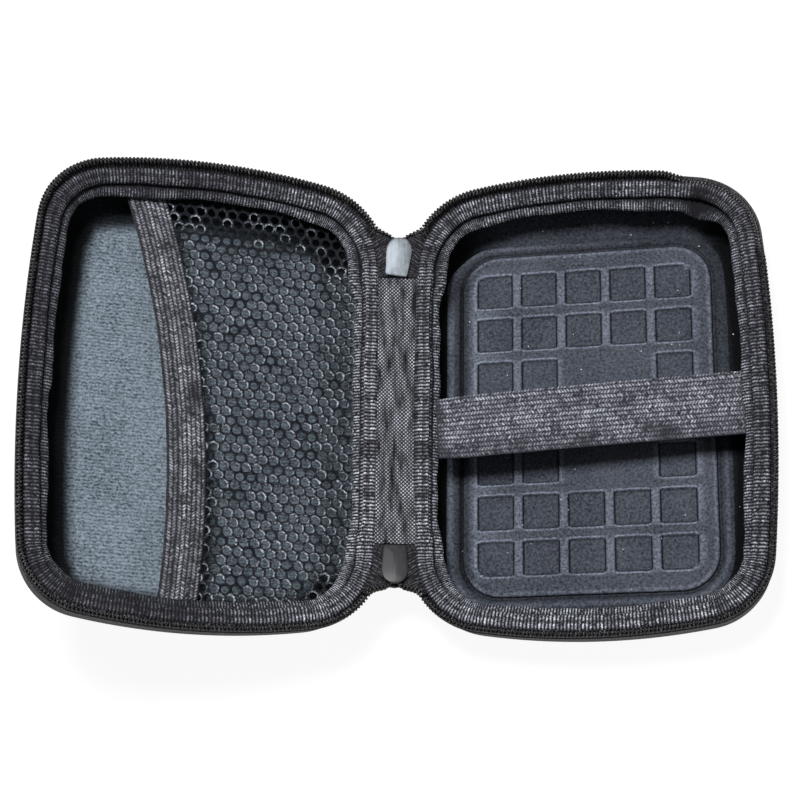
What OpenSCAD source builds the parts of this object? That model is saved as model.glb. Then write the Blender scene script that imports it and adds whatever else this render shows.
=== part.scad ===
// Zipped two-part case for a 2.5 inch portable drive, lying on its back, lid leaning open.
// Moulded EVA halves joined by a woven spine. X runs away from the spine, Y along it, Z up.
// The origin is the middle of the flat back of the base half.

/* [Moulded halves] */
// Width of one half, from the spine side to the outer side
case_w = 112; // [108:1:130]
// Length of one half, along the spine
case_l = 148; // [136:1:170]
// Height of one half, from its flat back to its rim
rim_h = 21.5; // [19:0.5:26]
// Plan radius of the two corners on the outer side
outer_corner_r = 22.5; // [18:0.5:26]
// Plan radius of the two corners on the spine side
spine_corner_r = 25; // [22:0.5:28]
// How far each short end bows out
end_bow = 5.5; // [3:0.5:7]
// How far the long outer side bows out
side_bow = 4; // [2:0.5:6]
// Radius between the wall and the flat back
back_r = 13; // [10:0.5:14]
// How far the wall leans in between the rim and that radius
wall_lean = 1.2; // [0.4:0.1:2]
// Thickness of the moulded foam with its nylon skin
shell_t = 1.8; // [1.4:0.1:2.4]
// Thickness of the knitted lining
lining_t = 0.5; // [0.3:0.1:0.8]

/* [Rim] */
// Width of the bound edge, seen from above
binding_w = 4.9; // [4:0.1:5.4]
// Height of the bound edge over the rim
binding_h = 1.6; // [1:0.1:1.8]
// Width of the facing strip that shows inside the bound edge
facing_w = 3; // [2:0.1:3.4]
// Thickness of the zip tape
tape_t = 0.6; // [0.4:0.1:0.8]
// Height of the zip tape that stands on the rim
tape_h = 2.4; // [1.8:0.1:2.6]
// Distance between two teeth of the zip
tooth_pitch = 1.7; // [1.5:0.05:2.2]
// Size of one tooth along the zip
tooth_l = 0.95; // [0.7:0.05:1.1]
// Size of one tooth across the tape
tooth_w = 1.4; // [1.2:0.1:1.6]
// Height of one tooth
tooth_h = 1.8; // [1.4:0.1:1.8]

/* [Spine] */
// Angle by which the lid leans up from lying flat
lid_lean = 28; // [10:1:45]
// Distance between the two fold lines of the spine
spine_w = 9.8; // [9.8:0.1:11]
// Distance from the end of the woven strip to where the zip's curve starts
strip_end_gap = 3.4; // [3.4:0.1:8]
// Thickness of each woven strip
strip_t = 1; // [0.7:0.1:1.1]
// Distance from a fold line to the edge of the woven strip
fold_gap = 0.8; // [0.6:0.1:1.2]

/* [Sliders] */
// Width of a slider
slider_w = 8.2; // [7.6:0.1:8.2]
// Length of a slider
slider_l = 12.5; // [11:0.5:13]
// Thickness of a slider plate
slider_plate_t = 0.8; // [0.6:0.1:1]
// Height of the channel between the two plates
slider_channel_h = 3; // [2.8:0.1:3.4]
// Length of a pull tab, from its pin to its end
pull_l = 14; // [10:0.5:15]
// Width of a pull tab
pull_w = 6; // [5:0.1:6.4]

/* [Drive seat and strap] */
// Width of the seat pad
seat_w = 79.6; // [70:0.2:82]
// Length of the seat pad
seat_l = 112.6; // [104:0.2:114]
// Height of the seat pad over the lining
seat_h = 1.3; // [1.1:0.1:2]
// Plan radius of the seat pad's corners
seat_corner_r = 12; // [8:0.5:14]
// Side of one sunk square
square_side = 11.3; // [9:0.1:12]
// Distance between two columns of squares
square_pitch_x = 14.2; // [13:0.1:14.6]
// Distance between two rows of squares
square_pitch_y = 14.7; // [13:0.1:15]
// Depth of a sunk square
square_depth = 0.7; // [0.4:0.1:0.9]
// Width of the elastic strap
strap_w = 20; // [15:0.5:30]
// Thickness of the elastic strap
strap_t = 1.3; // [0.8:0.1:1.6]

/* [Lid pocket] */
// Depth of the net below the rim
pocket_drop = 7.8; // [7.8:0.1:10]
// Width of the elastic at the pocket's mouth
mouth_w = 12; // [8:0.5:16]
// Thickness of the elastic at the pocket's mouth
mouth_t = 1.2; // [0.8:0.1:1.6]
// Radius of the curve of the pocket's mouth
mouth_curve_r = 304; // [250:1:400]
// Distance between two gaps of the net
net_pitch = 4.5; // [4.5:0.1:6]
// Width of one gap of the net
net_gap = 3.3; // [2.4:0.1:3.6]
// Thickness of the net
net_t = 0.5; // [0.4:0.1:0.8]

/* [Hidden] */
$fn = 48;

// Colours
black_nylon = "#1d1e22";
binding_grey = "#3b3c44";
base_grey = "#454a55";
lid_grey = "#74818e";
net_black = "#141417";
metal_grey = "#9a9ea3";

// Outline: a straight spine side, two spine corners, two bowed ends, two outer corners and a
// bowed outer side, all tangent arcs. An inset outline keeps the arcs' centres.
bow_trim = 8;
end_half = case_w / 2 - bow_trim;
side_half = case_l / 2 - bow_trim;
end_r = (end_half * end_half + end_bow * end_bow) / (2 * end_bow);
side_r = (side_half * side_half + side_bow * side_bow) / (2 * side_bow);
end_c = [0, case_l / 2 - end_r];
side_c = [case_w / 2 - side_r, 0];
to_side = side_c - end_c;
centre_gap = norm(to_side);
along = (pow(end_r - outer_corner_r, 2) - pow(side_r - outer_corner_r, 2)
    + centre_gap * centre_gap) / (2 * centre_gap);
across = sqrt(pow(end_r - outer_corner_r, 2) - along * along);
unit = to_side / centre_gap;
outer_c = end_c + along * unit + across * [unit[1], -unit[0]];
spine_c = [
    spine_corner_r - case_w / 2,
    end_c[1] + sqrt(pow(end_r - spine_corner_r, 2) - pow(spine_corner_r - case_w / 2, 2))
];
function bearing(from, to) = atan2(to[1] - from[1], to[0] - from[0]);
side_end = bearing(side_c, outer_c);
corner_end = bearing(end_c, outer_c);
bow_end = bearing(end_c, spine_c);
spine_end = 180;

// Heights and insets that pieces share
flat_start = wall_lean + back_r;
floor_z = shell_t + lining_t;
lined_t = shell_t + lining_t;
tape_inset = tape_t / 2 + 0.2;
binding_start = lined_t;
binding_end = binding_start + binding_w;
facing_end = binding_end + facing_w;
run_gap = 0.3;
fold_inset = tape_inset;
fold_x = fold_inset - case_w / 2;
half_lean = lid_lean / 2;
zip_r = spine_corner_r - tape_inset;

// Inset of the lined wall's inner face at a height over the back
function lined_inset(z) = lined_t + wall_lean * (rim_h - z) / (rim_h - back_r);
function arc_points(c, r, from, to, steps) =
    [for (i = [0 : steps]) c + r * [cos(from + (to - from) * i / steps),
                                    sin(from + (to - from) * i / steps)]];

// The outline is a ring of stations: the centre, radius and bearing of an arc. A profile point
// at an inset stands at that distance inside the arc, so the sides of a loft are flat quads.
function arc_stations(c, r, from, to, steps) =
    [for (i = [1 : steps]) [c[0], c[1], r, from + (to - from) * i / steps]];
function half_ring(stop) = concat(
    [[side_c[0], side_c[1], side_r, 0]],
    arc_stations(side_c, side_r, 0, side_end, 2),
    arc_stations(outer_c, outer_corner_r, side_end, corner_end, 8),
    arc_stations(end_c, end_r, corner_end, bow_end, 5),
    arc_stations(spine_c, spine_corner_r, bow_end, stop, 8));
function full_ring(stop) = let (half = half_ring(stop)) concat(
    [for (i = [len(half) - 1 : -1 : 1]) [half[i][0], -half[i][1], half[i][2], -half[i][3]]],
    half);
function station_point(s, inset) =
    [s[0] + (s[2] - inset) * cos(s[3]), s[1] + (s[2] - inset) * sin(s[3])];
function outline(inset) = [for (s = full_ring(spine_end)) station_point(s, inset)];

// A profile of [inset, height] points lofted round stations, closed on itself or capped
module loft(profile, stations, is_ring) {
    n = len(stations);
    m = len(profile);
    points = [for (s = stations, p = profile) let (q = station_point(s, p[0])) [q[0], q[1], p[1]]];
    sides = [for (i = [0 : n - (is_ring ? 1 : 2)], j = [0 : m - 1])
        let (k = (i + 1) % n, l = (j + 1) % m) [i * m + j, i * m + l, k * m + l, k * m + j]];
    caps = is_ring ? [] : [
        [for (j = [m - 1 : -1 : 0]) j],
        [for (j = [0 : m - 1]) (n - 1) * m + j]];
    polyhedron(points = points, faces = concat(sides, caps), convexity = 6);
}

module ring_sweep(profile) { loft(profile, full_ring(spine_end), true); }
module open_sweep(profile, stop) { loft(profile, full_ring(stop), false); }

// One laminated skin of a half: its outer face lies `deep` inside the outline. Its two faces
// are closed by flat floors, in strips from each station to the one across from it.
module dish(deep, t) {
    centre = [flat_start, back_r];
    profile = concat(
        [[deep, rim_h]],
        arc_points(centre, back_r - deep, 180, 270, 6),
        arc_points(centre, back_r - deep - t, 270, 180, 6),
        [[deep + t, rim_h]]);
    stations = full_ring(spine_end);
    n = len(stations);
    m = len(profile);
    outer_floor = 7;
    points = [for (s = stations, p = profile) let (q = station_point(s, p[0])) [q[0], q[1], p[1]]];
    sides = [for (i = [0 : n - 1], j = [0 : m - 1]) let (k = (i + 1) % n, l = (j + 1) % m)
        if (j != outer_floor) [i * m + j, k * m + j, k * m + l, i * m + l]];
    tip = (n - 1) / 2;
    strips = [for (i = [0 : tip - 2]) [i, i + 1, n - 2 - i, n - 1 - i]];
    floor_faces = concat(strips, [[tip - 1, tip, tip + 1]]);
    outer = [for (f = floor_faces) [for (i = f) i * m + outer_floor]];
    inner = [for (f = floor_faces) [for (k = [len(f) - 1 : -1 : 0]) f[k] * m + outer_floor + 1]];
    polyhedron(points = points, faces = concat(sides, outer, inner), convexity = 6);
}

// Rim pieces, alike on both halves
binding_profile = [
    [binding_start, rim_h], [binding_start + 1.1, rim_h + 0.3],
    [binding_start + 2, rim_h + binding_h * 0.75],
    [binding_start + binding_w * 0.62, rim_h + binding_h],
    [binding_end - 0.5, rim_h + binding_h * 0.55], [binding_end, rim_h - 0.6],
    [binding_end - 0.4, rim_h - 1.8], [binding_start + 2, rim_h - 3],
    [lined_inset(rim_h - 3.4), rim_h - 3.4]
];
facing_profile = [
    [lined_inset(rim_h - 3.6), rim_h - 3.6], [binding_start + 2.1, rim_h - 3.2],
    [binding_end - 0.2, rim_h - 2], [facing_end - 0.8, rim_h - 2.5],
    [facing_end, rim_h - 3.2], [facing_end - 0.4, rim_h - 4.2],
    [binding_end - 0.4, rim_h - 4.4], [binding_start + 1.6, rim_h - 5.6],
    [lined_inset(rim_h - 6.2), rim_h - 6.2]
];
foot_t = 0.4;
tape_profile = [
    [tape_inset - tape_t / 2, rim_h], [tape_inset - tape_t / 2, rim_h + tape_h],
    [tape_inset + tape_t / 2, rim_h + tape_h], [tape_inset + tape_t / 2, rim_h + foot_t],
    [lined_t - 0.1, rim_h + foot_t], [lined_t - 0.1, rim_h]
];

// The zip's open rows end where the parked sliders need room
slider_sag = slider_l * slider_l / (16 * zip_r);
slider_park = 8.8;
slider_run = 7;
slider_reach = slider_park + slider_run + asin(slider_l / 2 / zip_r);
row_clearance = 3.5;
row_stop = spine_end - slider_reach - row_clearance;

// Arc length along the zip, from the middle of the outer side, and the place at that length
function arc_len(r, sweep) = (r - tape_inset) * sweep * PI / 180;
len_side = arc_len(side_r, side_end);
len_corner = len_side + arc_len(outer_corner_r, corner_end - side_end);
len_bow = len_corner + arc_len(end_r, bow_end - corner_end);
len_row = len_bow + arc_len(spine_corner_r, row_stop - bow_end);
function turn(s, r) = s / (r - tape_inset) * 180 / PI;
function row_place(s) =
    s < len_side ? [side_c, side_r, turn(s, side_r)] :
    s < len_corner ? [outer_c, outer_corner_r, side_end + turn(s - len_side, outer_corner_r)] :
    s < len_bow ? [end_c, end_r, corner_end + turn(s - len_corner, end_r)] :
    [spine_c, spine_corner_r, bow_end + turn(s - len_bow, spine_corner_r)];

module teeth_row() {
    half_w = tooth_w / 2;
    for (m = [0, 1]) mirror([0, m, 0])
        for (s = [tooth_pitch / 2 : tooth_pitch : len_row - tooth_pitch / 2]) {
            place = row_place(s);
            translate([place[0][0], place[0][1], rim_h + tape_h]) rotate([0, 0, place[2]])
                translate([place[1] - tape_inset, tooth_l / 2, 0]) rotate([90, 0, 0])
                    linear_extrude(tooth_l) polygon([
                        [-half_w * 0.6, 0], [half_w * 0.6, 0], [half_w, tooth_h * 0.35],
                        [half_w * 0.7, tooth_h], [-half_w * 0.7, tooth_h],
                        [-half_w, tooth_h * 0.35]]);
        }
}

// Base half
module base_shell() { color(black_nylon) dish(0, shell_t); }
module base_lining() { color(base_grey) dish(shell_t, lining_t); }
module base_facing() { color(binding_grey) ring_sweep(facing_profile); }
module base_binding() { color(binding_grey) ring_sweep(binding_profile); }
module base_zip_tape() { color(black_nylon) open_sweep(tape_profile, row_stop); }
module base_zip_teeth() { color(net_black) teeth_row(); }

// Seat pad: rounded shoulders round a flat top with sunk squares. The squares leave a bare
// plate in the middle, two columns wide and three rows long.
seat_x = -3.2;
seat_shoulder = 3.5;
seat_undercut = 1.7;
square_columns = 5;
square_rows = 7;
grid_x = -0.8;
square_corner = 1;
grid_corner = 3;
function is_bare(column, row) = column >= 2 && column <= 3 && row >= 2 && row <= 4;

module arc_sweep(profile, c, r) {
    translate([c[0], c[1], 0]) rotate_extrude(angle = 90)
        polygon([for (p = profile) [r - p[0], p[1]]]);
}

module seat_edge_sweep() {
    in_x = seat_w / 2 - seat_corner_r;
    in_y = seat_l / 2 - seat_corner_r;
    shoulder = [for (i = [0 : 6]) [
        seat_shoulder * (1 - cos(15 * i)), seat_h * (0.25 + 0.75 * sin(15 * i))]];
    lap = 0.5;
    profile = concat([[seat_undercut, 0]], shoulder,
        [[seat_shoulder + lap, seat_h], [seat_shoulder + lap, 0]]);
    for (mx = [0, 1], my = [0, 1]) mirror([mx, 0, 0]) mirror([0, my, 0]) {
        arc_sweep(profile, [in_x, in_y], seat_corner_r);
        translate([seat_w / 2, 0, 0]) rotate([90, 0, 180]) linear_extrude(in_y)
            polygon(profile);
        translate([0, seat_l / 2, 0]) rotate([90, 0, -90]) linear_extrude(in_x)
            polygon(profile);
    }
}

module rounded_plate(w, l, r, t) {
    linear_extrude(t) polygon(concat(
        arc_points([w / 2 - r, l / 2 - r], r, 0, 90, 8),
        arc_points([r - w / 2, l / 2 - r], r, 90, 180, 8),
        arc_points([r - w / 2, r - l / 2], r, 180, 270, 8),
        arc_points([w / 2 - r, r - l / 2], r, 270, 360, 8)));
}

// A square with one large corner radius where it stands at a corner of the grid
module sunk_square(column, row) {
    big_x = column == 0 ? -1 : column == square_columns - 1 ? 1 : 0;
    big_y = row == 0 ? 1 : row == square_rows - 1 ? -1 : 0;
    half = square_side / 2;
    function corner_r(sx, sy) = sx == big_x && sy == big_y ? grid_corner : square_corner;
    function corner(sx, sy, from) = arc_points(
        [sx * (half - corner_r(sx, sy)), sy * (half - corner_r(sx, sy))],
        corner_r(sx, sy), from, from + 90, 4);
    linear_extrude(seat_h) polygon(concat(
        corner(1, 1, 0), corner(-1, 1, 90), corner(-1, -1, 180), corner(1, -1, 270)));
}

module drive_seat() {
    inner = seat_shoulder + 0.25;
    color(base_grey) translate([seat_x, 0, floor_z]) difference() {
        union() {
            seat_edge_sweep();
            rounded_plate(seat_w - 2 * inner, seat_l - 2 * inner,
                seat_corner_r - inner, seat_h);
        }
        for (column = [0 : square_columns - 1], row = [0 : square_rows - 1])
            if (!is_bare(column, row))
                translate([
                    grid_x + (column - (square_columns - 1) / 2) * square_pitch_x,
                    ((square_rows - 1) / 2 - row) * square_pitch_y,
                    seat_h - square_depth]) sunk_square(column, row);
    }
}

// Elastic strap: from the seam under the bound edge on the spine side, over the facing, to the
// wall under the facing on the outer side
strap_turn = 3;
strap_y = -4;
strap_left = -case_w / 2 + binding_end + 1;
strap_right = case_w / 2 - lined_inset(rim_h - 8) - 1.4;
strap_drop_left = 1.9;
strap_drop_right = 6.7;
strap_rise = 0.8;
strap_steps = 12;
function strap_z(f) = rim_h - strap_drop_left
    - (strap_drop_right - strap_drop_left) * f + 4 * strap_rise * f * (1 - f);

module drive_strap() {
    over = [for (i = [0 : strap_steps])
        [strap_left + (strap_right - strap_left) * i / strap_steps,
         strap_z(i / strap_steps) + strap_t]];
    under = [for (i = [strap_steps : -1 : 0])
        [strap_left + (strap_right - strap_left) * i / strap_steps, strap_z(i / strap_steps)]];
    color(binding_grey) translate([0, strap_y, 0]) rotate([0, 0, strap_turn])
        translate([0, strap_w / 2, 0]) rotate([90, 0, 0])
            linear_extrude(strap_w) polygon(concat(over, under));
}

// Lid half: the same mouldings, mirrored and hung on the far fold line of the spine
module place_lid() {
    translate([fold_x - spine_w * cos(half_lean), 0, rim_h + spine_w * sin(half_lean)])
        rotate([0, lid_lean, 0]) translate([fold_x, 0, -rim_h]) mirror([1, 0, 0]) children();
}

module lid_shell() { color(black_nylon) place_lid() dish(0, shell_t); }
module lid_lining() { color(lid_grey) place_lid() dish(shell_t, lining_t); }
module lid_facing() { color(binding_grey) place_lid() ring_sweep(facing_profile); }
module lid_binding() { color(binding_grey) place_lid() ring_sweep(binding_profile); }
module lid_zip_tape() { color(black_nylon) place_lid() open_sweep(tape_profile, row_stop); }
module lid_zip_teeth() { color(net_black) place_lid() teeth_row(); }

// Net pocket across the spine half of the lid. Its mouth is an arc of elastic.
pocket_z = rim_h - pocket_drop;
pocket_inset = lined_inset(pocket_z) + run_gap;
mouth_apex = [3, -35];
mouth_c = mouth_apex + [mouth_curve_r, 0];
net_lap = 2;
net_hem = 0.3;
column_step = 0.9;

module net_gaps() {
    rows = floor(case_l / net_pitch / 2);
    columns = floor(case_w / net_pitch / 2);
    hex_r = net_gap / 2;
    hem = facing_end + hex_r + net_hem;
    for (i = [0 : columns], j = [-rows : rows]) {
        x = hem + net_hem - case_w / 2 + i * net_pitch * column_step;
        y = (j + (i % 2) / 2) * net_pitch;
        far_from_mouth = norm([x, y] - mouth_c) > mouth_curve_r + mouth_w / 2 + hex_r + net_hem;
        in_outline = norm([x, abs(y)] - end_c) < end_r - hem
            && (abs(y) < spine_c[1] || x > spine_c[0]
                || norm([x, abs(y)] - spine_c) < spine_corner_r - hem);
        if (far_from_mouth && in_outline)
            translate([x, y]) circle(r = hex_r, $fn = 6);
    }
}

module pocket_net() {
    color(net_black) place_lid() translate([0, 0, pocket_z]) linear_extrude(net_t) difference() {
        polygon(outline(pocket_inset));
        translate(mouth_c) circle(r = mouth_curve_r + mouth_w / 2 - net_lap, $fn = 360);
        net_gaps();
    }
}

module pocket_elastic() {
    color(binding_grey) place_lid() translate([0, 0, pocket_z + net_t]) intersection() {
        linear_extrude(mouth_t) polygon(outline(pocket_inset));
        translate([mouth_c[0], mouth_c[1], 0]) rotate([0, 0, 150]) rotate_extrude(angle = 60)
            translate([mouth_curve_r - mouth_w / 2, 0]) square([mouth_w, mouth_t]);
    }
}

// Spine: its own frame has X towards the base, Z towards the inside of the case
module place_spine() {
    translate([fold_x - spine_w / 2 * cos(half_lean), 0, rim_h + spine_w / 2 * sin(half_lean)])
        rotate([0, half_lean, 0]) children();
}

strip_w = spine_w - 2 * fold_gap;
strip_half_l = spine_c[1] - strip_end_gap;
tail_t = 0.7;
tail_tuck = 7;
tail_start = strip_half_l - tail_tuck;

module woven_strip() {
    difference() {
        translate([-strip_w / 2, -strip_half_l, 0]) cube([strip_w, 2 * strip_half_l, strip_t]);
        for (m = [0, 1]) mirror([0, m, 0])
            translate([-spine_w, tail_start, -strip_t]) cube([2 * spine_w, spine_w,
                strip_t + tail_t / 2]);
    }
}

module spine_inner_strip() { color(binding_grey) place_spine() woven_strip(); }
module spine_outer_strip() { color(black_nylon) place_spine() mirror([0, 0, 1]) woven_strip(); }

// Closed end of the zip: the tape lies between the strips and curls up inside the slider
chain_w = 3.2;
chain_t = 1.4;
post_back = 1.5;
post_w = 1.2;
post_l = 2.5;
tail_stop = slider_park + asin((post_back - run_gap) / zip_r);

// A strap of the tail: straight from `start`, then round the zip's arc, extruded over its width
module tail_strap(w, t, start) {
    c = [spine_c[1], zip_r];
    translate([-w / 2, 0, 0]) rotate([90, 0, 90]) linear_extrude(w) polygon(concat(
        [[start, -t / 2]], arc_points(c, zip_r + t / 2, 270, 270 + tail_stop, 6),
        arc_points(c, zip_r - t / 2, 270 + tail_stop, 270, 6), [[start, t / 2]]));
}

module zip_tail() {
    color(black_nylon) union() {
        tail_strap(strip_w, tail_t, tail_start);
        tail_strap(chain_w, chain_t, strip_half_l + run_gap);
    }
}

module zip_tail_top() { place_spine() zip_tail(); }
module zip_tail_bottom() { place_spine() mirror([0, 1, 0]) zip_tail(); }

// Slider: two shield-shaped plates on a post, with flanges at the back that leave a slot for
// the tape and a bail on the outer plate
module place_slider() {
    translate([0, spine_c[1], zip_r]) rotate([slider_park, 0, 0])
        translate([0, 0, slider_sag - zip_r]) children();
}

slot_h = 2.2;
flange_w = 0.8;
flange_l = 5;
bail_w = 1.6;
bail_t = 0.8;
bail_half = 2.2;
pin_d = 1.1;
pin_drop = 0.9;
channel_half = slider_channel_h / 2;
plate_out = channel_half + slider_plate_t;

module shield(t) {
    back_half = slider_w * 0.4;
    nose_y = slider_l / 2;
    wide_y = slider_l * 0.1;
    linear_extrude(t) polygon([
        [-back_half, -nose_y], [back_half, -nose_y], [slider_w / 2, -wide_y],
        [slider_w / 2, wide_y], [slider_w * 0.42, nose_y * 0.55], [slider_w * 0.24, nose_y * 0.85],
        [slider_w * 0.08, nose_y], [-slider_w * 0.08, nose_y], [-slider_w * 0.24, nose_y * 0.85],
        [-slider_w * 0.42, nose_y * 0.55], [-slider_w / 2, wide_y], [-slider_w / 2, -wide_y]]);
}

module slider() {
    bail_h = pin_drop * 2 + bail_t;
    for (m = [0, 1]) mirror([0, 0, m]) {
        translate([0, 0, channel_half]) shield(slider_plate_t);
        for (mx = [0, 1]) mirror([mx, 0, 0]) translate([
            slider_w * 0.4 - flange_w, -slider_l / 2, slot_h / 2])
            cube([flange_w, flange_l, plate_out - slot_h / 2]);
    }
    translate([-post_w / 2, post_back, -channel_half]) cube([post_w, post_l, slider_channel_h]);
    translate([-bail_w / 2, 0, -plate_out]) rotate([0, 90, 0]) linear_extrude(bail_w)
        difference() {
            polygon([[-0.2, -bail_half - bail_t], [bail_h - 0.6, -bail_half - bail_t],
                [bail_h, -bail_half], [bail_h, bail_half],
                [bail_h - 0.6, bail_half + bail_t], [-0.2, bail_half + bail_t]]);
            translate([0, -bail_half]) square([pin_drop * 2, 2 * bail_half]);
        }
}

module slider_top() { color(metal_grey) place_spine() place_slider() slider(); }
module slider_bottom() {
    color(black_nylon) place_spine() mirror([0, 1, 0]) place_slider() slider();
}

// Pull tab: hangs from the bail by its pin
pull_t = 1.2;
pull_window = 4.2;
pull_end_r = 1.6;
pull_taper = 0.4;
arm_gap = 0.5;

module pull() {
    arm_in = bail_w / 2 + arm_gap;
    end_x = pull_w / 2 - pull_end_r - pull_taper;
    top = pin_d * 0.4;
    translate([-pull_w / 2, 0, 0]) rotate([0, 90, 0]) cylinder(d = pin_d, h = pull_w);
    rotate([90, 0, 0]) translate([0, 0, -pull_t / 2]) linear_extrude(pull_t) difference() {
        polygon(concat([[-pull_w / 2, top], [-pull_w / 2, -pull_window]],
            arc_points([-end_x, pull_end_r - pull_l], pull_end_r, 180, 270, 4),
            arc_points([end_x, pull_end_r - pull_l], pull_end_r, 270, 360, 4),
            [[pull_w / 2, -pull_window], [pull_w / 2, top]]));
        translate([-arm_in, -pull_window]) square([2 * arm_in, pull_window + pin_d]);
    }
}

pin_place = [0,
    spine_c[1] + (zip_r - slider_sag + plate_out + pin_drop) * sin(slider_park),
    zip_r - (zip_r - slider_sag + plate_out + pin_drop) * cos(slider_park)];

module pull_top() { color(metal_grey) place_spine() translate(pin_place) pull(); }
module pull_bottom() {
    color(black_nylon) place_spine() mirror([0, 1, 0]) translate(pin_place) pull();
}

base_shell();
base_lining();
drive_seat();
base_facing();
base_binding();
base_zip_tape();
base_zip_teeth();
drive_strap();
lid_shell();
lid_lining();
lid_facing();
lid_binding();
lid_zip_tape();
lid_zip_teeth();
pocket_net();
pocket_elastic();
spine_outer_strip();
spine_inner_strip();
zip_tail_top();
zip_tail_bottom();
slider_top();
slider_bottom();
pull_top();
pull_bottom();
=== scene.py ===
"""Zipped hard case for a 2.5 inch portable drive, open, its base half lying on its back."""
import math

import bpy
from mathutils import Matrix, Vector, noise


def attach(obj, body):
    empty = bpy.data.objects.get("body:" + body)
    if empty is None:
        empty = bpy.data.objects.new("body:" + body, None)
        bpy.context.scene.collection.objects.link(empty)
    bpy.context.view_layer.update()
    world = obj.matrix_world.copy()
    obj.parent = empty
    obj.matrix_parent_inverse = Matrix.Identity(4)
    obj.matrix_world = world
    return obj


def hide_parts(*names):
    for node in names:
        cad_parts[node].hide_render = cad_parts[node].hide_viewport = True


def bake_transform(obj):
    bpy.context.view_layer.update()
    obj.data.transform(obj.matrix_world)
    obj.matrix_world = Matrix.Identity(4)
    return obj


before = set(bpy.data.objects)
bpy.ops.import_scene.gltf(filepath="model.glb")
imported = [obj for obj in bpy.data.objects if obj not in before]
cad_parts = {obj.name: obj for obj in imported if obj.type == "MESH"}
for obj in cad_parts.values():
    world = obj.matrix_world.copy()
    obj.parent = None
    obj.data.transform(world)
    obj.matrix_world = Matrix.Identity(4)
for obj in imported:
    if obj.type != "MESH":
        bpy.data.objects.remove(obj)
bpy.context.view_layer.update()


# Camera: a long lens a little in front of the case and above it, as the photograph was taken.
camera_data = bpy.data.cameras.new("camera")
camera_data.lens = 99
camera_data.sensor_width = 36
camera_data.clip_end = 20
camera = bpy.data.objects.new("camera", camera_data)
bpy.context.scene.collection.objects.link(camera)
camera_right = Vector((0.9786, 0.0105, -0.2054)).normalized()
camera_back = Vector((0.1983, -0.3131, 0.9288)).normalized()
camera_up = camera_back.cross(camera_right).normalized()
camera_right = camera_up.cross(camera_back)
camera.matrix_world = Matrix.Translation((0.07607, -0.21049, 0.65597)) @ Matrix(
    (camera_right, camera_up, camera_back)).transposed().to_4x4()
bpy.context.scene.camera = camera


# Base shell: EVA foam, pressed in a mould together with its woven nylon skin, so that the wall
# runs into the flat back in one wide curve. Both halves have the same tangent-arc outline.
CASE_W, CASE_L, RIM_H = 0.112, 0.148, 0.0215
SHELL_T = 0.0018
OUTER_CORNER_R, SPINE_CORNER_R = 0.0225, 0.025
END_BOW, SIDE_BOW, BOW_TRIM = 0.0055, 0.004, 0.008
BACK_R, WALL_LEAN = 0.013, 0.0012

end_half = CASE_W / 2 - BOW_TRIM
side_half = CASE_L / 2 - BOW_TRIM
end_r = (end_half ** 2 + END_BOW ** 2) / (2 * END_BOW)
side_r = (side_half ** 2 + SIDE_BOW ** 2) / (2 * SIDE_BOW)
end_c = Vector((0, CASE_L / 2 - end_r))
side_c = Vector((CASE_W / 2 - side_r, 0))
to_side = side_c - end_c
along = ((end_r - OUTER_CORNER_R) ** 2 - (side_r - OUTER_CORNER_R) ** 2
         + to_side.length_squared) / (2 * to_side.length)
across = math.sqrt((end_r - OUTER_CORNER_R) ** 2 - along ** 2)
unit = to_side.normalized()
outer_c = end_c + along * unit + across * Vector((unit.y, -unit.x))
spine_x = SPINE_CORNER_R - CASE_W / 2
spine_c = Vector((spine_x, end_c.y + math.sqrt((end_r - SPINE_CORNER_R) ** 2 - spine_x ** 2)))


def bearing(start, end):
    return math.atan2(end.y - start.y, end.x - start.x)


side_end = bearing(side_c, outer_c)
corner_end = bearing(end_c, outer_c)
bow_end = bearing(end_c, spine_c)


def rim_stations(step):
    """Places round the rim: the point on the outline, the way outwards and the distance run."""
    arcs = [(side_c, side_r, 0, side_end), (outer_c, OUTER_CORNER_R, side_end, corner_end),
            (end_c, end_r, corner_end, bow_end), (spine_c, SPINE_CORNER_R, bow_end, math.pi)]
    half = []
    run = 0
    for centre, radius, start, end in arcs:
        count = max(2, round(radius * (end - start) / step))
        for i in range(count):
            turn = start + (end - start) * i / count
            out = Vector((math.cos(turn), math.sin(turn)))
            half.append((centre + radius * out, out, run + radius * (end - start) * i / count))
        run += radius * (end - start)
    count = round(spine_c.y / step)
    for i in range(count + 1):
        half.append((Vector((-CASE_W / 2, spine_c.y * (1 - i / count))), Vector((-1, 0)),
                     run + spine_c.y * i / count))
    total = 2 * half[-1][2]
    mirrored = [(Vector((p.x, -p.y)), Vector((n.x, -n.y)), total - s)
                for p, n, s in reversed(half[:-1])]
    return half + mirrored


def alone(piece):
    """Makes a piece the only one that is selected, and the active one."""
    for other in bpy.context.selected_objects:
        other.select_set(False)
    piece.select_set(True)
    bpy.context.view_layer.objects.active = piece


def new_grid(name, columns, rows):
    """A flat unit grid with so many faces each way, under its name."""
    bpy.ops.object.select_all(action="DESELECT")
    bpy.ops.mesh.primitive_grid_add(x_subdivisions=columns, y_subdivisions=rows, size=1)
    piece = bpy.context.object
    piece.name = piece.data.name = name
    return piece


def new_outline(name, corners, radius=1):
    """A flat round face with so many corners, under its name."""
    bpy.ops.object.select_all(action="DESELECT")
    bpy.ops.mesh.primitive_circle_add(vertices=corners, radius=radius, fill_type="NGON")
    piece = bpy.context.object
    piece.name = piece.data.name = name
    return piece


def thickened(piece, thickness, offset=0):
    """Gives a sheet its thickness, about its middle or to one side."""
    body = piece.modifiers.new("thickness", "SOLIDIFY")
    body.thickness = thickness
    body.offset = offset
    bpy.ops.object.modifier_apply(modifier="thickness")


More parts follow.
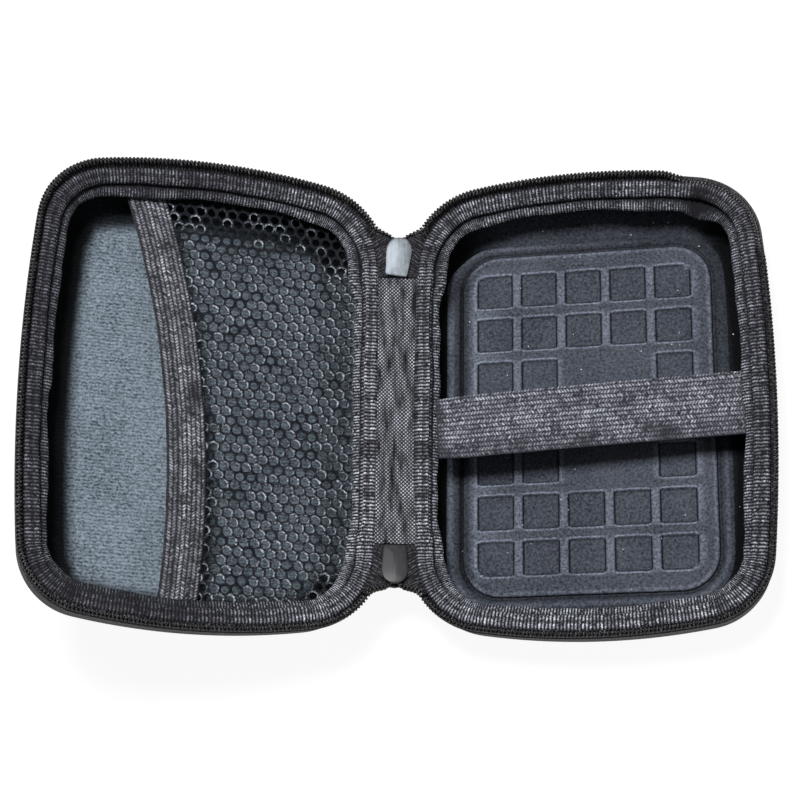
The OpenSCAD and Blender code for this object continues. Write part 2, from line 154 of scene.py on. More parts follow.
def swept(name, profile, stations, shift=None, tone=None):
    """A grid laid round the stations. Its columns follow the profile of (inset, height) points,
    and its UV map holds real lengths, along the rim and across it. Shift moves single points,
    and tone is stored at each as painted light and shade."""
    columns = len(profile)
    piece = new_grid(name, columns - 1, len(stations) - 1)
    runs = [0]
    for (a, b), (c, d) in zip(profile, profile[1:]):
        runs.append(runs[-1] + math.hypot(c - a, d - b))
    for i, vertex in enumerate(piece.data.vertices):
        row, column = divmod(i, columns)
        place, out, run = stations[row]
        inset, height = profile[column]
        if shift:
            inset, height = shift(place, run, column / (columns - 1), inset, height)
        spot = place - out * inset
        vertex.co = (spot.x, spot.y, height)
    lengths = piece.data.uv_layers.active.data
    for loop in piece.data.loops:
        row, column = divmod(loop.vertex_index, columns)
        lengths[loop.index].uv = (stations[row][2], runs[column])
    if tone:
        tones = piece.data.attributes.new("tone", "FLOAT", "POINT").data
        for i, item in enumerate(tones):
            row, column = divmod(i, columns)
            item.value = tone(stations[row][0], *profile[column])
    return piece


def paint_light_and_shade(piece, shade):
    """Stores painted light and shade at each vertex, or changes what is stored already."""
    fresh = "tone" not in piece.data.attributes
    if fresh:
        piece.data.attributes.new("tone", "FLOAT", "POINT")
    for vertex, item in zip(piece.data.vertices, piece.data.attributes["tone"].data):
        item.value = shade(vertex.co) * (1 if fresh else item.value)


def closed_up(piece, angle=50):
    """Merges the seam, turns the faces outwards and smooths them."""
    alone(piece)
    bpy.ops.object.mode_set(mode="EDIT")
    bpy.ops.mesh.select_all(action="SELECT")
    bpy.ops.mesh.remove_doubles(threshold=1e-6)
    bpy.ops.mesh.normals_make_consistent(inside=False)
    bpy.ops.object.mode_set(mode="OBJECT")
    bpy.ops.object.shade_smooth_by_angle(angle=math.radians(angle))


def capped(piece):
    """Fills the flat openings that a sweep leaves, and gives them flat UVs."""
    alone(piece)
    bpy.ops.object.mode_set(mode="EDIT")
    bpy.ops.mesh.select_all(action="SELECT")
    bpy.ops.mesh.remove_doubles(threshold=1e-6)
    bpy.ops.mesh.select_all(action="DESELECT")
    bpy.ops.mesh.select_non_manifold()
    bpy.ops.mesh.edge_face_add()
    bpy.ops.object.mode_set(mode="OBJECT")
    lengths = piece.data.uv_layers.active.data
    for face in piece.data.polygons:
        if len(face.vertices) > 8:
            for k, vertex in zip(face.loop_indices, face.vertices):
                lengths[k].uv = piece.data.vertices[vertex].co.xy


def arc(centre, radius, start, end, steps):
    """Points of (inset, height) on an arc, in degrees."""
    return [(centre[0] + radius * math.cos(math.radians(start + (end - start) * i / steps)),
             centre[1] + radius * math.sin(math.radians(start + (end - start) * i / steps)))
            for i in range(steps + 1)]


def add_node(tree, kind, inputs=None, **settings):
    """A shader node with its settings, and its inputs linked or set."""
    new = tree.nodes.new(kind)
    for key, value in settings.items():
        setattr(new, key, value)
    for socket, value in (inputs or {}).items():
        if isinstance(value, bpy.types.NodeSocket):
            tree.links.new(value, new.inputs[socket])
        else:
            new.inputs[socket].default_value = value
    return new


def math_node(tree, operation, *values):
    """A Math node's result."""
    return add_node(tree, "ShaderNodeMath", dict(enumerate(values)),
                    operation=operation).outputs[0]


def new_group(name, inputs, outputs):
    """An empty shader group. A float default makes a value input, None a vector input."""
    tree = bpy.data.node_groups.new(name, "ShaderNodeTree")
    for label, default in inputs:
        kind = "NodeSocketVector" if default is None else "NodeSocketFloat"
        socket = tree.interface.new_socket(label, in_out="INPUT", socket_type=kind)
        if default is not None:
            socket.default_value = default
    for label in outputs:
        tree.interface.new_socket(label, in_out="OUTPUT", socket_type="NodeSocketFloat")
    return tree, tree.nodes.new("NodeGroupInput").outputs, tree.nodes.new("NodeGroupOutput").inputs


def new_material(name):
    """A material with its Principled shader and node tree."""
    made = bpy.data.materials.new(name)
    made.use_nodes = True
    return made, made.node_tree, made.node_tree.nodes["Principled BSDF"]


def noise_node(tree, vector, scale, detail):
    """A Noise texture's value."""
    return add_node(tree, "ShaderNodeTexNoise", {
        "Vector": vector, "Scale": scale, "Detail": detail}).outputs["Fac"]


def mixed(tree, mask, dark, light):
    """A colour between two, as light as the mask says."""
    return add_node(tree, "ShaderNodeMix", {0: mask, 6: (*dark, 1), 7: (*light, 1)},
                    data_type="RGBA", clamp_factor=True).outputs[2]


def surfaced(tree, shader, colour, height, strength, distance, roughness, specular):
    """Links a material's colour and its bump, and sets how it shines."""
    bump = add_node(tree, "ShaderNodeBump", {
        "Strength": strength, "Distance": distance, "Height": height})
    tree.links.new(colour, shader.inputs["Base Color"])
    tree.links.new(bump.outputs[0], shader.inputs["Normal"])
    shader.inputs["Roughness"].default_value = roughness
    shader.inputs["Specular IOR Level"].default_value = specular


def dress(piece, material, slot, body, *nodes):
    """Gives a finished piece its material, its body and the CAD nodes that it stands for."""
    piece.data.materials.clear()
    piece.data.materials.append(material)
    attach(piece, body)
    if nodes:
        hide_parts(*nodes)


# Woven nylon: a pebbly weave, the same on every side, from three crossed waves.
weave_tree, weave_in, weave_out = new_group(
    "nylon weave", [("Vector", None), ("Threads", 1500.0)], ["Height"])
weave_split = add_node(weave_tree, "ShaderNodeSeparateXYZ", {0: weave_in["Vector"]}).outputs
weave_waves = []
for axis in "XYZ":
    turned = math_node(weave_tree, "MULTIPLY", weave_split[axis], weave_in["Threads"])
    weave_waves.append((math_node(weave_tree, "SINE", turned),
                        math_node(weave_tree, "COSINE", turned)))
weave_sum = math_node(weave_tree, "MULTIPLY", weave_waves[0][0], weave_waves[1][1])
for i, k in ((1, 2), (2, 0)):
    weave_sum = math_node(weave_tree, "MULTIPLY_ADD", weave_waves[i][0], weave_waves[k][1],
                          weave_sum)
weave_tree.links.new(math_node(weave_tree, "MULTIPLY_ADD", weave_sum, 0.33, 0.5),
                     weave_out["Height"])

nylon, tree, skin = new_material("woven nylon skin")
weave = add_node(tree, "ShaderNodeGroup", {
    "Vector": add_node(tree, "ShaderNodeTexCoord").outputs["Object"], "Threads": 6500},
    node_tree=weave_tree)
nylon_shade = add_node(tree, "ShaderNodeMix", {
    0: weave.outputs["Height"], 6: (0.008, 0.008, 0.010, 1), 7: (0.035, 0.036, 0.041, 1)},
    data_type="RGBA").outputs[2]
surfaced(tree, skin, nylon_shade, weave.outputs["Height"], 0.5, 0.0002, 0.72, 0.2)

RIM_STEP = 0.0012
stations = rim_stations(RIM_STEP)
whole_run = stations[-1][2] + RIM_STEP
ring = stations + [(stations[0][0], stations[0][1], whole_run)]
flat_start = WALL_LEAN + BACK_R


def dish_profile(deep, thick, floor=()):
    """The wall and back curve of one layer, from its outer floor edge over the rim and back,
    and on across the floor as far as the insets of floor."""
    outer = [(deep, RIM_H), *[(deep + WALL_LEAN * i / 5, RIM_H - (RIM_H - BACK_R) * i / 5)
                              for i in range(1, 5)],
             *arc((flat_start, BACK_R), BACK_R - deep, 180, 270, 12)]
    inner = [*arc((flat_start, BACK_R), BACK_R - deep - thick, 270, 180, 12),
             *[(deep + thick + WALL_LEAN * i / 5, RIM_H - (RIM_H - BACK_R) * i / 5)
               for i in range(4, 0, -1)], (deep + thick, RIM_H)]
    return outer[::-1] + inner[::-1] + [(inset, deep + thick) for inset in floor]


base_shell = swept("base_shell_skin", dish_profile(0, SHELL_T), ring)
capped(base_shell)
closed_up(base_shell)
dress(base_shell, nylon, "nylon_skin", "base", "base_shell")


# Lid shell: the same moulding, mirrored, hung on the far fold line of the spine and leaning up.
LID_LEAN = math.radians(28)
LID_PLACE = Matrix(((-math.cos(LID_LEAN), 0, math.sin(LID_LEAN), -0.1241061), (0, 1, 0, 0),
                    (math.sin(LID_LEAN), 0, math.cos(LID_LEAN), 0.0309431), (0, 0, 0, 1)))


def carried(piece, place=LID_PLACE):
    """Mirrors a piece over to the lid or another place, its faces outwards again."""
    piece.data.transform(place)
    piece.data.flip_normals()


def mirror_copy(piece, name, shade=None, place=LID_PLACE):
    """A copy with its own mesh, carried over. Shade changes its painted light and shade."""
    copy = piece.copy()
    copy.data = piece.data.copy()
    copy.name = copy.data.name = name
    bpy.context.scene.collection.objects.link(copy)
    if shade:
        paint_light_and_shade(copy, shade)
    carried(copy, place)
    return copy


lid_shell = mirror_copy(base_shell, "lid_shell_skin")
dress(lid_shell, nylon, "nylon_skin", "lid", "lid_shell")


# Base lining: charcoal knit, pressed into the mould with the foam. Round the seat the foam
# stands up in one low rounded ridge.
LINING_T = 0.0005
SEAT_X, SEAT_W, SEAT_L, SEAT_CORNER_R, SEAT_H = -0.0032, 0.0796, 0.1126, 0.012, 0.0013
FLOOR_Z = SHELL_T + LINING_T


def out_of_box(x, y, half_w, half_l, radius):
    """Distance outside a rectangle with round corners, below 0 inside it."""
    a, b = abs(x) - half_w + radius, abs(y) - half_l + radius
    return math.hypot(max(a, 0), max(b, 0)) + min(max(a, b), 0) - radius


def smooth(low, high, value):
    """0 below low, 1 above high, and smooth between."""
    part = min(max((value - low) / (high - low), 0), 1)
    return part * part * (3 - 2 * part)


def base_lining_painted_shade(place, inset, height):
    """Painted shade on the base lining: the floor and end walls stay dim, and the side walls
    go nearly black.
    """
    wall = 0.06 + 1.3 * smooth(0.045, 0.062, abs(place.y)) * smooth(0.05, 0.03, abs(place.x))
    far = 0.0030 * smooth(0.03, 0.05, place.x)
    return 0.36 * (wall + (1 - wall) * smooth(0.0118 + far * 0.2, 0.0146 + far, inset))


def lid_lining_painted_shade(place, inset, height):
    """Painted shade on the lid lining: a pale floor, with the walls and their foot painted dark,
    least of all by the spine.
    """
    wall = 0.025 + 0.075 * smooth(0.045, 0.062, abs(place.y)) * smooth(0.05, 0.03, abs(place.x))
    wall += 0.55 * smooth(-0.048, -0.055, place.x) * smooth(0.056, 0.046, abs(place.y))
    far = 0.0040 * smooth(0.03, 0.05, place.x)
    return wall + (1 - wall) * smooth(0.0125 + far, 0.0172 + far, inset)


floor_rings = (0.0149, 0.0157, 0.0166, 0.0176, 0.0190, 0.0212)
base_lining = swept("base_lining_knit", dish_profile(SHELL_T, LINING_T, floor_rings), ring,
                    None, base_lining_painted_shade)
lid_lining = swept("lid_lining_knit", dish_profile(SHELL_T, LINING_T, floor_rings), ring,
                   None, lid_lining_painted_shade)
for lining in (base_lining, lid_lining):
    capped(lining)
    closed_up(lining)

knit_tree, knit_in, knit_out = new_group(
    "brushed knit", [("Vector", None), ("Courses", 900.0), ("Ridged", 0.35)],
    ["Height", "Speckle", "Lint"])
knit_split = add_node(knit_tree, "ShaderNodeSeparateXYZ", {0: knit_in["Vector"]}).outputs
knit_drift = noise_node(knit_tree, knit_in["Vector"], 700.0, 2.0)
knit_phase = math_node(knit_tree, "MULTIPLY_ADD", knit_split["Y"], knit_in["Courses"],
                       math_node(knit_tree, "MULTIPLY", knit_drift, 1.4))
knit_row = math_node(knit_tree, "MULTIPLY_ADD", math_node(
    knit_tree, "SINE", math_node(knit_tree, "MULTIPLY", knit_phase, 6.2832)), 0.5, 0.5)
knit_cells = add_node(knit_tree, "ShaderNodeTexVoronoi",
                      {"Vector": knit_in["Vector"], "Scale": 1500.0})
knit_fluff = noise_node(knit_tree, knit_in["Vector"], 1100.0, 3.0)
knit_height = math_node(knit_tree, "MULTIPLY_ADD", knit_row, knit_in["Ridged"], math_node(
    knit_tree, "MULTIPLY", knit_cells.outputs["Distance"], 0.6))
knit_tree.links.new(knit_height, knit_out["Height"])
knit_tree.links.new(math_node(knit_tree, "MULTIPLY_ADD", knit_fluff, 0.7,
                              math_node(knit_tree, "MULTIPLY", knit_height, 0.45)),
                    knit_out["Speckle"])
knit_bits = add_node(knit_tree, "ShaderNodeTexVoronoi",
                     {"Vector": knit_in["Vector"], "Scale": 420.0})
knit_pick = add_node(knit_tree, "ShaderNodeSeparateColor", {0: knit_bits.outputs["Color"]})
knit_tree.links.new(math_node(
    knit_tree, "MULTIPLY", math_node(knit_tree, "LESS_THAN", knit_bits.outputs["Distance"], 0.09),
    math_node(knit_tree, "GREATER_THAN", knit_pick.outputs[0], 0.86)), knit_out["Lint"])


def knit_material(name, dark, light, courses, ridged, lint):
    """Brushed knit between two colours, with specks of lint, darkened or lightened by the
    painted light and shade stored as its tone.
    """
    made, tree, cloth = new_material(name)
    coords = add_node(tree, "ShaderNodeTexCoord").outputs["Object"]
    knit = add_node(tree, "ShaderNodeGroup", {
        "Vector": coords, "Courses": courses, "Ridged": ridged}, node_tree=knit_tree)
    patches = noise_node(tree, coords, 45.0, 3.0)
    tone = math_node(tree, "MULTIPLY_ADD", math_node(
        tree, "SUBTRACT", knit.outputs["Speckle"], 0.55), 2.2, math_node(
            tree, "MULTIPLY_ADD", patches, 0.6, 0.2))
    shade = mixed(tree, tone, dark, light)
    # Painted light and shade: the stored tone scales the knit's colour.
    painted_light_fac = add_node(tree, "ShaderNodeAttribute", attribute_name="tone").outputs["Fac"]
    knit_with_painted_light = add_node(tree, "ShaderNodeVectorMath", {0: shade, 3: painted_light_fac},
                       operation="SCALE").outputs[0]
    bits = add_node(tree, "ShaderNodeMix", {
        0: math_node(tree, "MULTIPLY", knit.outputs["Lint"], lint), 6: knit_with_painted_light,
        7: (0.24, 0.25, 0.27, 1)}, data_type="RGBA").outputs[2]
    surfaced(tree, cloth, bits, knit.outputs["Height"], 0.6, 0.0003, 0.9, 0.05)
    return made


charcoal_knit = knit_material("charcoal knit", (0.015, 0.018, 0.024), (0.074, 0.082, 0.102),
                              1300, 0.08, 1.0)
dress(base_lining, charcoal_knit, "charcoal_lining", "base", "base_lining")


# Lid lining: the same press work in a lighter blue-grey knit, with a plain flat floor.
blue_grey_knit = knit_material("blue-grey knit", (0.015, 0.020, 0.026), (0.128, 0.156, 0.185),
                               900, 0.35, 0.0)
carried(lid_lining)
dress(lid_lining, blue_grey_knit, "grey_lining", "lid", "lid_lining")


# Seat pad: foam pressed under the charcoal knit, with rounded shoulders and 29 sunk squares
# round a bare plate. Its lines of mesh crowd where the squares' edges are.
SQUARE, SQUARE_DEEP = 0.0113, 0.0007
PITCH_X, PITCH_Y, GRID_X = 0.0142, 0.0147, -0.0008
SHOULDER = 0.0035


def seat_lines(centres, low, high):
    """Grid lines from low to high, close together at both edges of each square."""
    lines = {round(low + SHOULDER * (1 - math.cos(math.radians(7.5 * i))), 6) for i in range(13)}
    lines |= {round(high - SHOULDER * (1 - math.cos(math.radians(7.5 * i))), 6)
              for i in range(13)}
    for centre in centres:
        for side in (-1, 1):
            lines |= {round(centre + side * (SQUARE / 2 + offset / 1e5), 6)
                      for offset in (-90, -65, -45, -30, -15, 0, 15, 30, 50, 75)}
        lines |= {round(centre + SQUARE * part, 6) for part in (-0.3, -0.1, 0.1, 0.3)}
    lines = sorted(lines)
    kept = [lines[0]]
    for line in lines[1:]:
        if line - kept[-1] > 0.00009:
            kept.append(line)
    return kept


columns_x = [GRID_X + (i - 2) * PITCH_X for i in range(5)]
rows_y = [(3 - i) * PITCH_Y for i in range(7)]
lines_x = seat_lines(columns_x, -SEAT_W / 2, SEAT_W / 2)
lines_y = seat_lines(rows_y, -SEAT_L / 2, SEAT_L / 2)
seat_pad = new_grid("seat_pad", len(lines_x) - 1, len(lines_y) - 1)


def squares_near(x, y):
    """Each square whose cell holds a place on the pad: the way to the place from its middle,
    and how far outside it that lies. The grid's own four corners are rounder."""
    for i, cx in enumerate(columns_x):
        for j, cy in enumerate(rows_y):
            off_cell = abs(x - cx) > PITCH_X / 2 or abs(y - cy) > PITCH_Y / 2
            if off_cell or (i in (2, 3) and j in (2, 3, 4)):
                continue
            outermost = i in (0, 4) and (x > cx) == (i == 4)
            endmost = j in (0, 6) and (y > cy) == (j == 0)
            yield x - cx, y - cy, out_of_box(x - cx, y - cy, SQUARE / 2, SQUARE / 2,
                                             0.003 if outermost and endmost else 0.0011)


def sunk(x, y):
    """How far the knit is sunk in at a place on the pad, from 0 to 1."""
    return max((1 - smooth(-0.0006, 0.0003, edge) for dx, dy, edge in squares_near(x, y)),
               default=0)


def seat_painted_light(x, y, inside):
    """Painted light and shade: dull in the squares, painted highlights along their edges and the
    pad's crest, and painted shadow black in the cracks.
    """
    left = smooth(-0.6, -0.95, x / SEAT_W * 2) * smooth(0.97, 0.85, abs(y) / SEAT_L * 2)
    tone = 0.8 + 0.8 * math.exp(-((inside - 0.0010) / 0.0005) ** 2)
    tone += left * (0.45 + 1.05 * smooth(0.0012, 0.0047, inside) - tone)
    tone *= 0.05 + 0.95 * smooth(0.0001, 0.0006, inside)
    for dx, dy, edge in squares_near(x, y):
        tone += (0.72 - tone) * smooth(0.0001, -0.0002, edge)
        if abs(dx) > abs(dy):
            tone += 0.75 * math.exp(-((edge - 0.0007) / 0.0004) ** 2)
            tone *= 1 - 0.92 * math.exp(-((edge + 0.0001) / 0.00025) ** 2)
        else:
            tone += 1.7 * math.exp(-((edge - 0.0002) / 0.00026) ** 2)
            tone *= 1 - 0.45 * math.exp(-((edge + 0.0005) / 0.0003) ** 2)
    return tone


seat_painted_lights = []
for i, vertex in enumerate(seat_pad.data.vertices):
    row, column = divmod(i, len(lines_x))
    x, y = lines_x[column], lines_y[row]
    # The grid's outer corners are drawn in to the pad's round corners
    corner_x, corner_y = SEAT_W / 2 - SEAT_CORNER_R, SEAT_L / 2 - SEAT_CORNER_R
    over_x, over_y = abs(x) - corner_x, abs(y) - corner_y
    if over_x > 0 and over_y > 0:
        reach = max(over_x, over_y)
        part = min(max((reach / SEAT_CORNER_R - 0.55) / 0.45, 0), 1)
        drawn = 1 + (reach / math.hypot(over_x, over_y) - 1) * part
        x = math.copysign(corner_x + over_x * drawn, x)
        y = math.copysign(corner_y + over_y * drawn, y)
    inside = -out_of_box(x, y, SEAT_W / 2, SEAT_L / 2, SEAT_CORNER_R)
    round_part = min(max(inside / SHOULDER, 0), 1)
    top = SEAT_H * math.sqrt(1 - (1 - round_part) ** 2)
    low = SQUARE_DEEP * sunk(lines_x[column], lines_y[row])
    soft = 0.00012 * noise.noise(Vector((x * 90, y * 90, 3)))
    vertex.co = (x + SEAT_X, y, FLOOR_Z + top - low + soft * round_part)
    seat_painted_lights.append(seat_painted_light(lines_x[column], lines_y[row], inside))
seat_pad.data.attributes.new("tone", "FLOAT", "POINT").data.foreach_set("value", seat_painted_lights)
bpy.ops.object.mode_set(mode="EDIT")
bpy.ops.mesh.select_all(action="DESELECT")
bpy.ops.mesh.select_non_manifold()
bpy.ops.mesh.extrude_region_move(TRANSFORM_OT_translate={"value": (0, 0, -0.0004)})
bpy.ops.mesh.edge_face_add()
bpy.ops.object.mode_set(mode="OBJECT")
closed_up(seat_pad, 60)
dress(seat_pad, charcoal_knit, "charcoal_pad", "base", "drive_seat")

# The lining's low ridge round the pad, with a painted highlight along its crest.
seat_ring, run = [], 0
for cx, cy, start in ((1, 1, 0), (-1, 1, 90), (-1, -1, 180), (1, -1, 270)):
    for i in range(13):
        turn = math.radians(start + 7.5 * i)
        out = Vector((math.cos(turn), math.sin(turn)))
        spot = Vector((SEAT_X + cx * (SEAT_W / 2 - SEAT_CORNER_R),
                       cy * (SEAT_L / 2 - SEAT_CORNER_R))) + out * SEAT_CORNER_R
        run += (spot - seat_ring[-1][0]).length if seat_ring else 0
        seat_ring.append((spot, out, run))
seat_ring.append((seat_ring[0][0], seat_ring[0][1], run + SEAT_L - 2 * SEAT_CORNER_R))
ridge_profile = [(-a / 1000, FLOOR_Z + b / 1000) for a, b in (
    (0.5, -0.1), (0.8, 0.15), (1.2, 0.5), (1.7, 0.72), (2.2, 0.74), (2.8, 0.55), (3.5, 0.25),
    (4.3, 0.05), (4.8, -0.1))]


def ridge_height(place, run, part, inset, height):
    """The ridge is full on the spine's side and in front, widest by the spine, and fades
    elsewhere."""
    full = max(smooth(0, -0.03, place.x), smooth(0, -0.045, place.y))
    inset *= 1 + 0.4 * smooth(-0.03, -0.042, place.x)
    turn = min(max(0.0138 - CASE_W / 2 - place.x - inset, 0), 0.008)
    curve = BACK_R - math.sqrt((BACK_R - FLOOR_Z) ** 2 - turn ** 2)
    return inset, curve + (height - FLOOR_Z) * (0.35 + 0.65 * full)


def ridge_painted_light(place, inset, height):
    """Painted shadow, black in the crack beside the pad, and a painted highlight on the crest."""
    full = max(smooth(0, -0.03, place.x), smooth(0, -0.045, place.y))
    crest = math.exp(-((inset + 0.0026) / 0.0006) ** 2)
    return (0.34 + full * (0.14 + 0.7 * crest)) * smooth(-0.0005, -0.0010, inset)


seat_ridge = swept("seat_ridge", ridge_profile, seat_ring, ridge_height, ridge_painted_light)
closed_up(seat_ridge, 80)
dress(seat_ridge, charcoal_knit, "charcoal_lining", "base")


# Ribbed tape: raised ribs across the tape, each wound with fine thread, paler where it wears.
# Its colour also follows the height of ribs and threads: painted shade in the grooves.
rib_tree, rib_in, rib_out = new_group(
    "ribbed tape", [("Vector", None), ("Ribs", 900.0), ("Threads", 2600.0), ("Stray", 0.0002),
                    ("Sharp", 1.6), ("Knots", 0.55)], ["Height", "Shade"])
rib_split = add_node(rib_tree, "ShaderNodeSeparateXYZ", {0: rib_in["Vector"]}).outputs
rib_stray = math_node(rib_tree, "MULTIPLY", math_node(
    rib_tree, "SUBTRACT", noise_node(rib_tree, rib_in["Vector"], 220.0, 3.0), 0.5),
    rib_in["Stray"])
rib_turn = math_node(rib_tree, "MULTIPLY",
                     math_node(rib_tree, "ADD", rib_split["X"], rib_stray), rib_in["Ribs"])
rib_wave = math_node(rib_tree, "MULTIPLY_ADD", math_node(
    rib_tree, "COSINE", math_node(rib_tree, "MULTIPLY", rib_turn, 6.2832)), -0.5, 0.5)
rib_number = math_node(rib_tree, "FLOOR", rib_turn)
rib_luck = add_node(rib_tree, "ShaderNodeTexWhiteNoise", {"W": rib_number},
                    noise_dimensions="1D").outputs["Value"]
rib_slant = math_node(rib_tree, "MULTIPLY", math_node(
    rib_tree, "PINGPONG", rib_turn, 1.0), 0.9)
rib_lay = math_node(rib_tree, "MULTIPLY_ADD", rib_split["Y"], rib_in["Threads"], rib_slant)
rib_thread = math_node(rib_tree, "MULTIPLY_ADD", math_node(
    rib_tree, "SINE", math_node(rib_tree, "MULTIPLY", rib_lay, 6.2832)), 0.5, 0.5)
rib_knot = add_node(rib_tree, "ShaderNodeTexWhiteNoise", {"Vector": add_node(
    rib_tree, "ShaderNodeCombineXYZ", {
        0: rib_number, 1: math_node(rib_tree, "FLOOR", math_node(
            rib_tree, "ADD", rib_lay, 0.25))}).outputs[0]}).outputs["Value"]
rib_height = math_node(
    rib_tree, "MULTIPLY", math_node(rib_tree, "POWER", rib_wave, rib_in["Sharp"]),
    math_node(rib_tree, "MULTIPLY_ADD", math_node(rib_tree, "SUBTRACT", rib_thread, 1.0),
              rib_in["Knots"], 1.0))
rib_patch = noise_node(rib_tree, rib_in["Vector"], 120.0, 4.0)
rib_fuzz = noise_node(rib_tree, rib_in["Vector"], 1300.0, 2.0)
rib_grain = math_node(rib_tree, "MULTIPLY_ADD", math_node(
    rib_tree, "SUBTRACT", rib_fuzz, 0.5), 3.4, math_node(
        rib_tree, "MULTIPLY_ADD", rib_knot, 0.9, 0.3))
rib_tree.links.new(rib_height, rib_out["Height"])
rib_tree.links.new(math_node(rib_tree, "MULTIPLY", math_node(
    rib_tree, "MULTIPLY", rib_height, math_node(
        rib_tree, "MULTIPLY_ADD", rib_luck, 0.5, math_node(
            rib_tree, "MULTIPLY_ADD", rib_patch, 2.2, -0.6))), rib_grain), rib_out["Shade"])


def ribbed_material(name, ribs, threads, dark, light, sharp=1.6, knots=0.55, stray=0.0005,
                    turned=False, shaded=True):
    """Ribbed tape or elastic on the piece's UV map, its ribs across or along the map's X.
    Shaded cloth is darkened by the painted light and shade stored as its tone."""
    made, tree, cloth = new_material(name)
    lengths = add_node(tree, "ShaderNodeTexCoord").outputs["UV"]
    if turned:
        lengths = add_node(tree, "ShaderNodeMapping", {
            "Vector": lengths, "Rotation": (0, 0, math.radians(90))}).outputs[0]
    tape = add_node(tree, "ShaderNodeGroup", {
        "Vector": lengths, "Ribs": ribs, "Threads": threads, "Stray": stray, "Sharp": sharp,
        "Knots": knots}, node_tree=rib_tree)
    mask = tape.outputs["Shade"]
    if shaded:
        mask = math_node(tree, "MULTIPLY", mask, add_node(
            tree, "ShaderNodeAttribute", attribute_name="tone").outputs["Fac"])
    surfaced(tree, cloth, mixed(tree, mask, dark, light), tape.outputs["Height"], 0.8, 0.00035,
             0.8, 0.1)
    return made


# Facing tapes: narrow ribbed tape inside the bound edge, stitched down over the lining's raw
# edge. It hangs a little loose and wavy, most of all in the corners.
def at_spine(place):
    """1 along the spine's side, 0 from its corners on."""
    return smooth(-0.050, -0.0555, place.x) * smooth(0.044, 0.034, abs(place.y))


def loose(place, run, part, inset, height):
    """Small waves that leave the tape's fixed outer edge alone. Along the spine the tape is
    drawn outwards."""
    free = smooth(0.004, 0.009, inset)
    inset -= 0.0019 * smooth(0.0024, 0.0060, inset) * at_spine(place)
    wave = noise.noise(Vector((place.x * 70, place.y * 70, 1.7)))
    fine = noise.noise(Vector((place.x * 260, place.y * 260, 8.1)))
    return inset + free * (0.0009 * wave + 0.0003 * fine), height + free * 0.0004 * fine


facing_profile = [(a / 1000, RIM_H + b / 1000) for a, b in (
    (2.6, -3.6), (4.4, -3.0), (6.0, -2.35), (7.1, -2.15), (8.0, -2.2), (8.8, -2.4), (9.5, -2.8),
    (10.0, -3.3), (10.15, -3.8), (10.0, -4.25), (9.4, -4.5), (7.6, -4.7), (5.2, -5.3),
    (3.6, -6.0), (2.7, -6.0), (2.6, -3.6))]


def facing_painted_light(place, inset, height):
    """Painted shadow, black where it comes out from under the binding, and painted light, paler in
    front than behind.
    """
    lit = 0.85 + 0.3 * smooth(0.03, -0.07, place.y)
    return lit * (0.06 + 0.94 * smooth(0.0072, 0.0088, inset))


def lid_tapes_painted_light(vertex):
    """Painted light on the lid's tapes: palest beside the spine, and dullest along the front."""
    spine = smooth(0.01, -0.05, vertex.x)
    front = smooth(-0.052, -0.062, vertex.y) * (1 - 0.85 * spine)
    return (0.52 + 0.68 * spine) * (1 - 0.6 * front)


facing_tape = ribbed_material("facing tape", 1050, 1150, (0.003, 0.003, 0.0045),
                              (0.36, 0.38, 0.43))
base_facing = swept("base_facing_tape", facing_profile, ring, loose, facing_painted_light)
closed_up(base_facing)
dress(base_facing, facing_tape, "ribbed_binding", "base", "base_facing")
lid_facing = mirror_copy(base_facing, "lid_facing_tape", lid_tapes_painted_light)

# The base's own facing is bunched up in the outer back corner, with a hollow behind it that is
# painted dark
PUCKER = Vector((0.0362, 0.0622))
for vertex in base_facing.data.vertices:
    away = Vector(vertex.co.xy) - PUCKER
    pull = math.exp(-(away.length / 0.0055) ** 2)
    pleat = math.sin((away.x - away.y) * 2600) * math.exp(-(away.length / 0.008) ** 2)
    vertex.co.x -= 0.0022 * pull
    vertex.co.y -= 0.0018 * pull
    vertex.co.z += 0.0007 * pleat - 0.0013 * pull


def pucker_painted_shade(vertex):
    """Painted shade: dark streaks along the folds that run out from the bunched corner, and black
    in the hollow.
    """
    away = Vector(vertex.xy) - PUCKER
    near = math.exp(-(away.length / 0.009) ** 2)
    streak = 0.5 + 0.5 * math.sin(away.y * 3400 - away.x * 1500)
    return (1 - 0.75 * near * streak) * (1 - 0.97 * math.exp(-(
        (away + Vector((0.0028, 0.0008))).length / 0.0042) ** 2))


paint_light_and_shade(base_facing, pucker_painted_shade)
dress(lid_facing, facing_tape, "ribbed_binding", "lid", "lid_facing")


# Binding tapes: heavier ribbed tape, folded over the rim and sewn through, so that it stands in
# two soft folds with the seam sunk between them.
binding_profile = [(a / 1000, RIM_H + b / 1000) for a, b in (
    (2.1, 0.1), (2.05, 0.4), (2.25, 0.8), (2.7, 1.15), (3.3, 1.38), (3.9, 1.42), (4.4, 1.25),
    (4.75, 0.9), (5.0, 0.86), (5.35, 1.05), (5.9, 1.2), (6.5, 1.0), (7.0, 0.5), (7.3, -0.2),
    (7.3, -0.9), (6.9, -1.6), (5.6, -2.3), (4.2, -2.85), (2.6, -3.3), (2.3, -3.0), (2.2, -0.4),
    (2.1, 0.1))]


def folded(place, run, part, inset, height):
    """Unevenness of the two folds, as the tape is eased round the rim and over the spine."""
    free = smooth(0.0025, 0.0045, inset)
    low = smooth(RIM_H + 0.0011, RIM_H + 0.0007, height)
    inset -= (0.0002 + 0.0012 * low) * smooth(RIM_H - 0.0018, RIM_H, height) * at_spine(place)
    wave = noise.noise(Vector((place.x * 60, place.y * 60, 5.2)))
    fine = noise.noise(Vector((place.x * 300, place.y * 300, 2.3)))
    return inset + free * (0.0005 * wave + 0.00018 * fine), height + free * (
        0.0002 * wave + 0.00012 * fine)


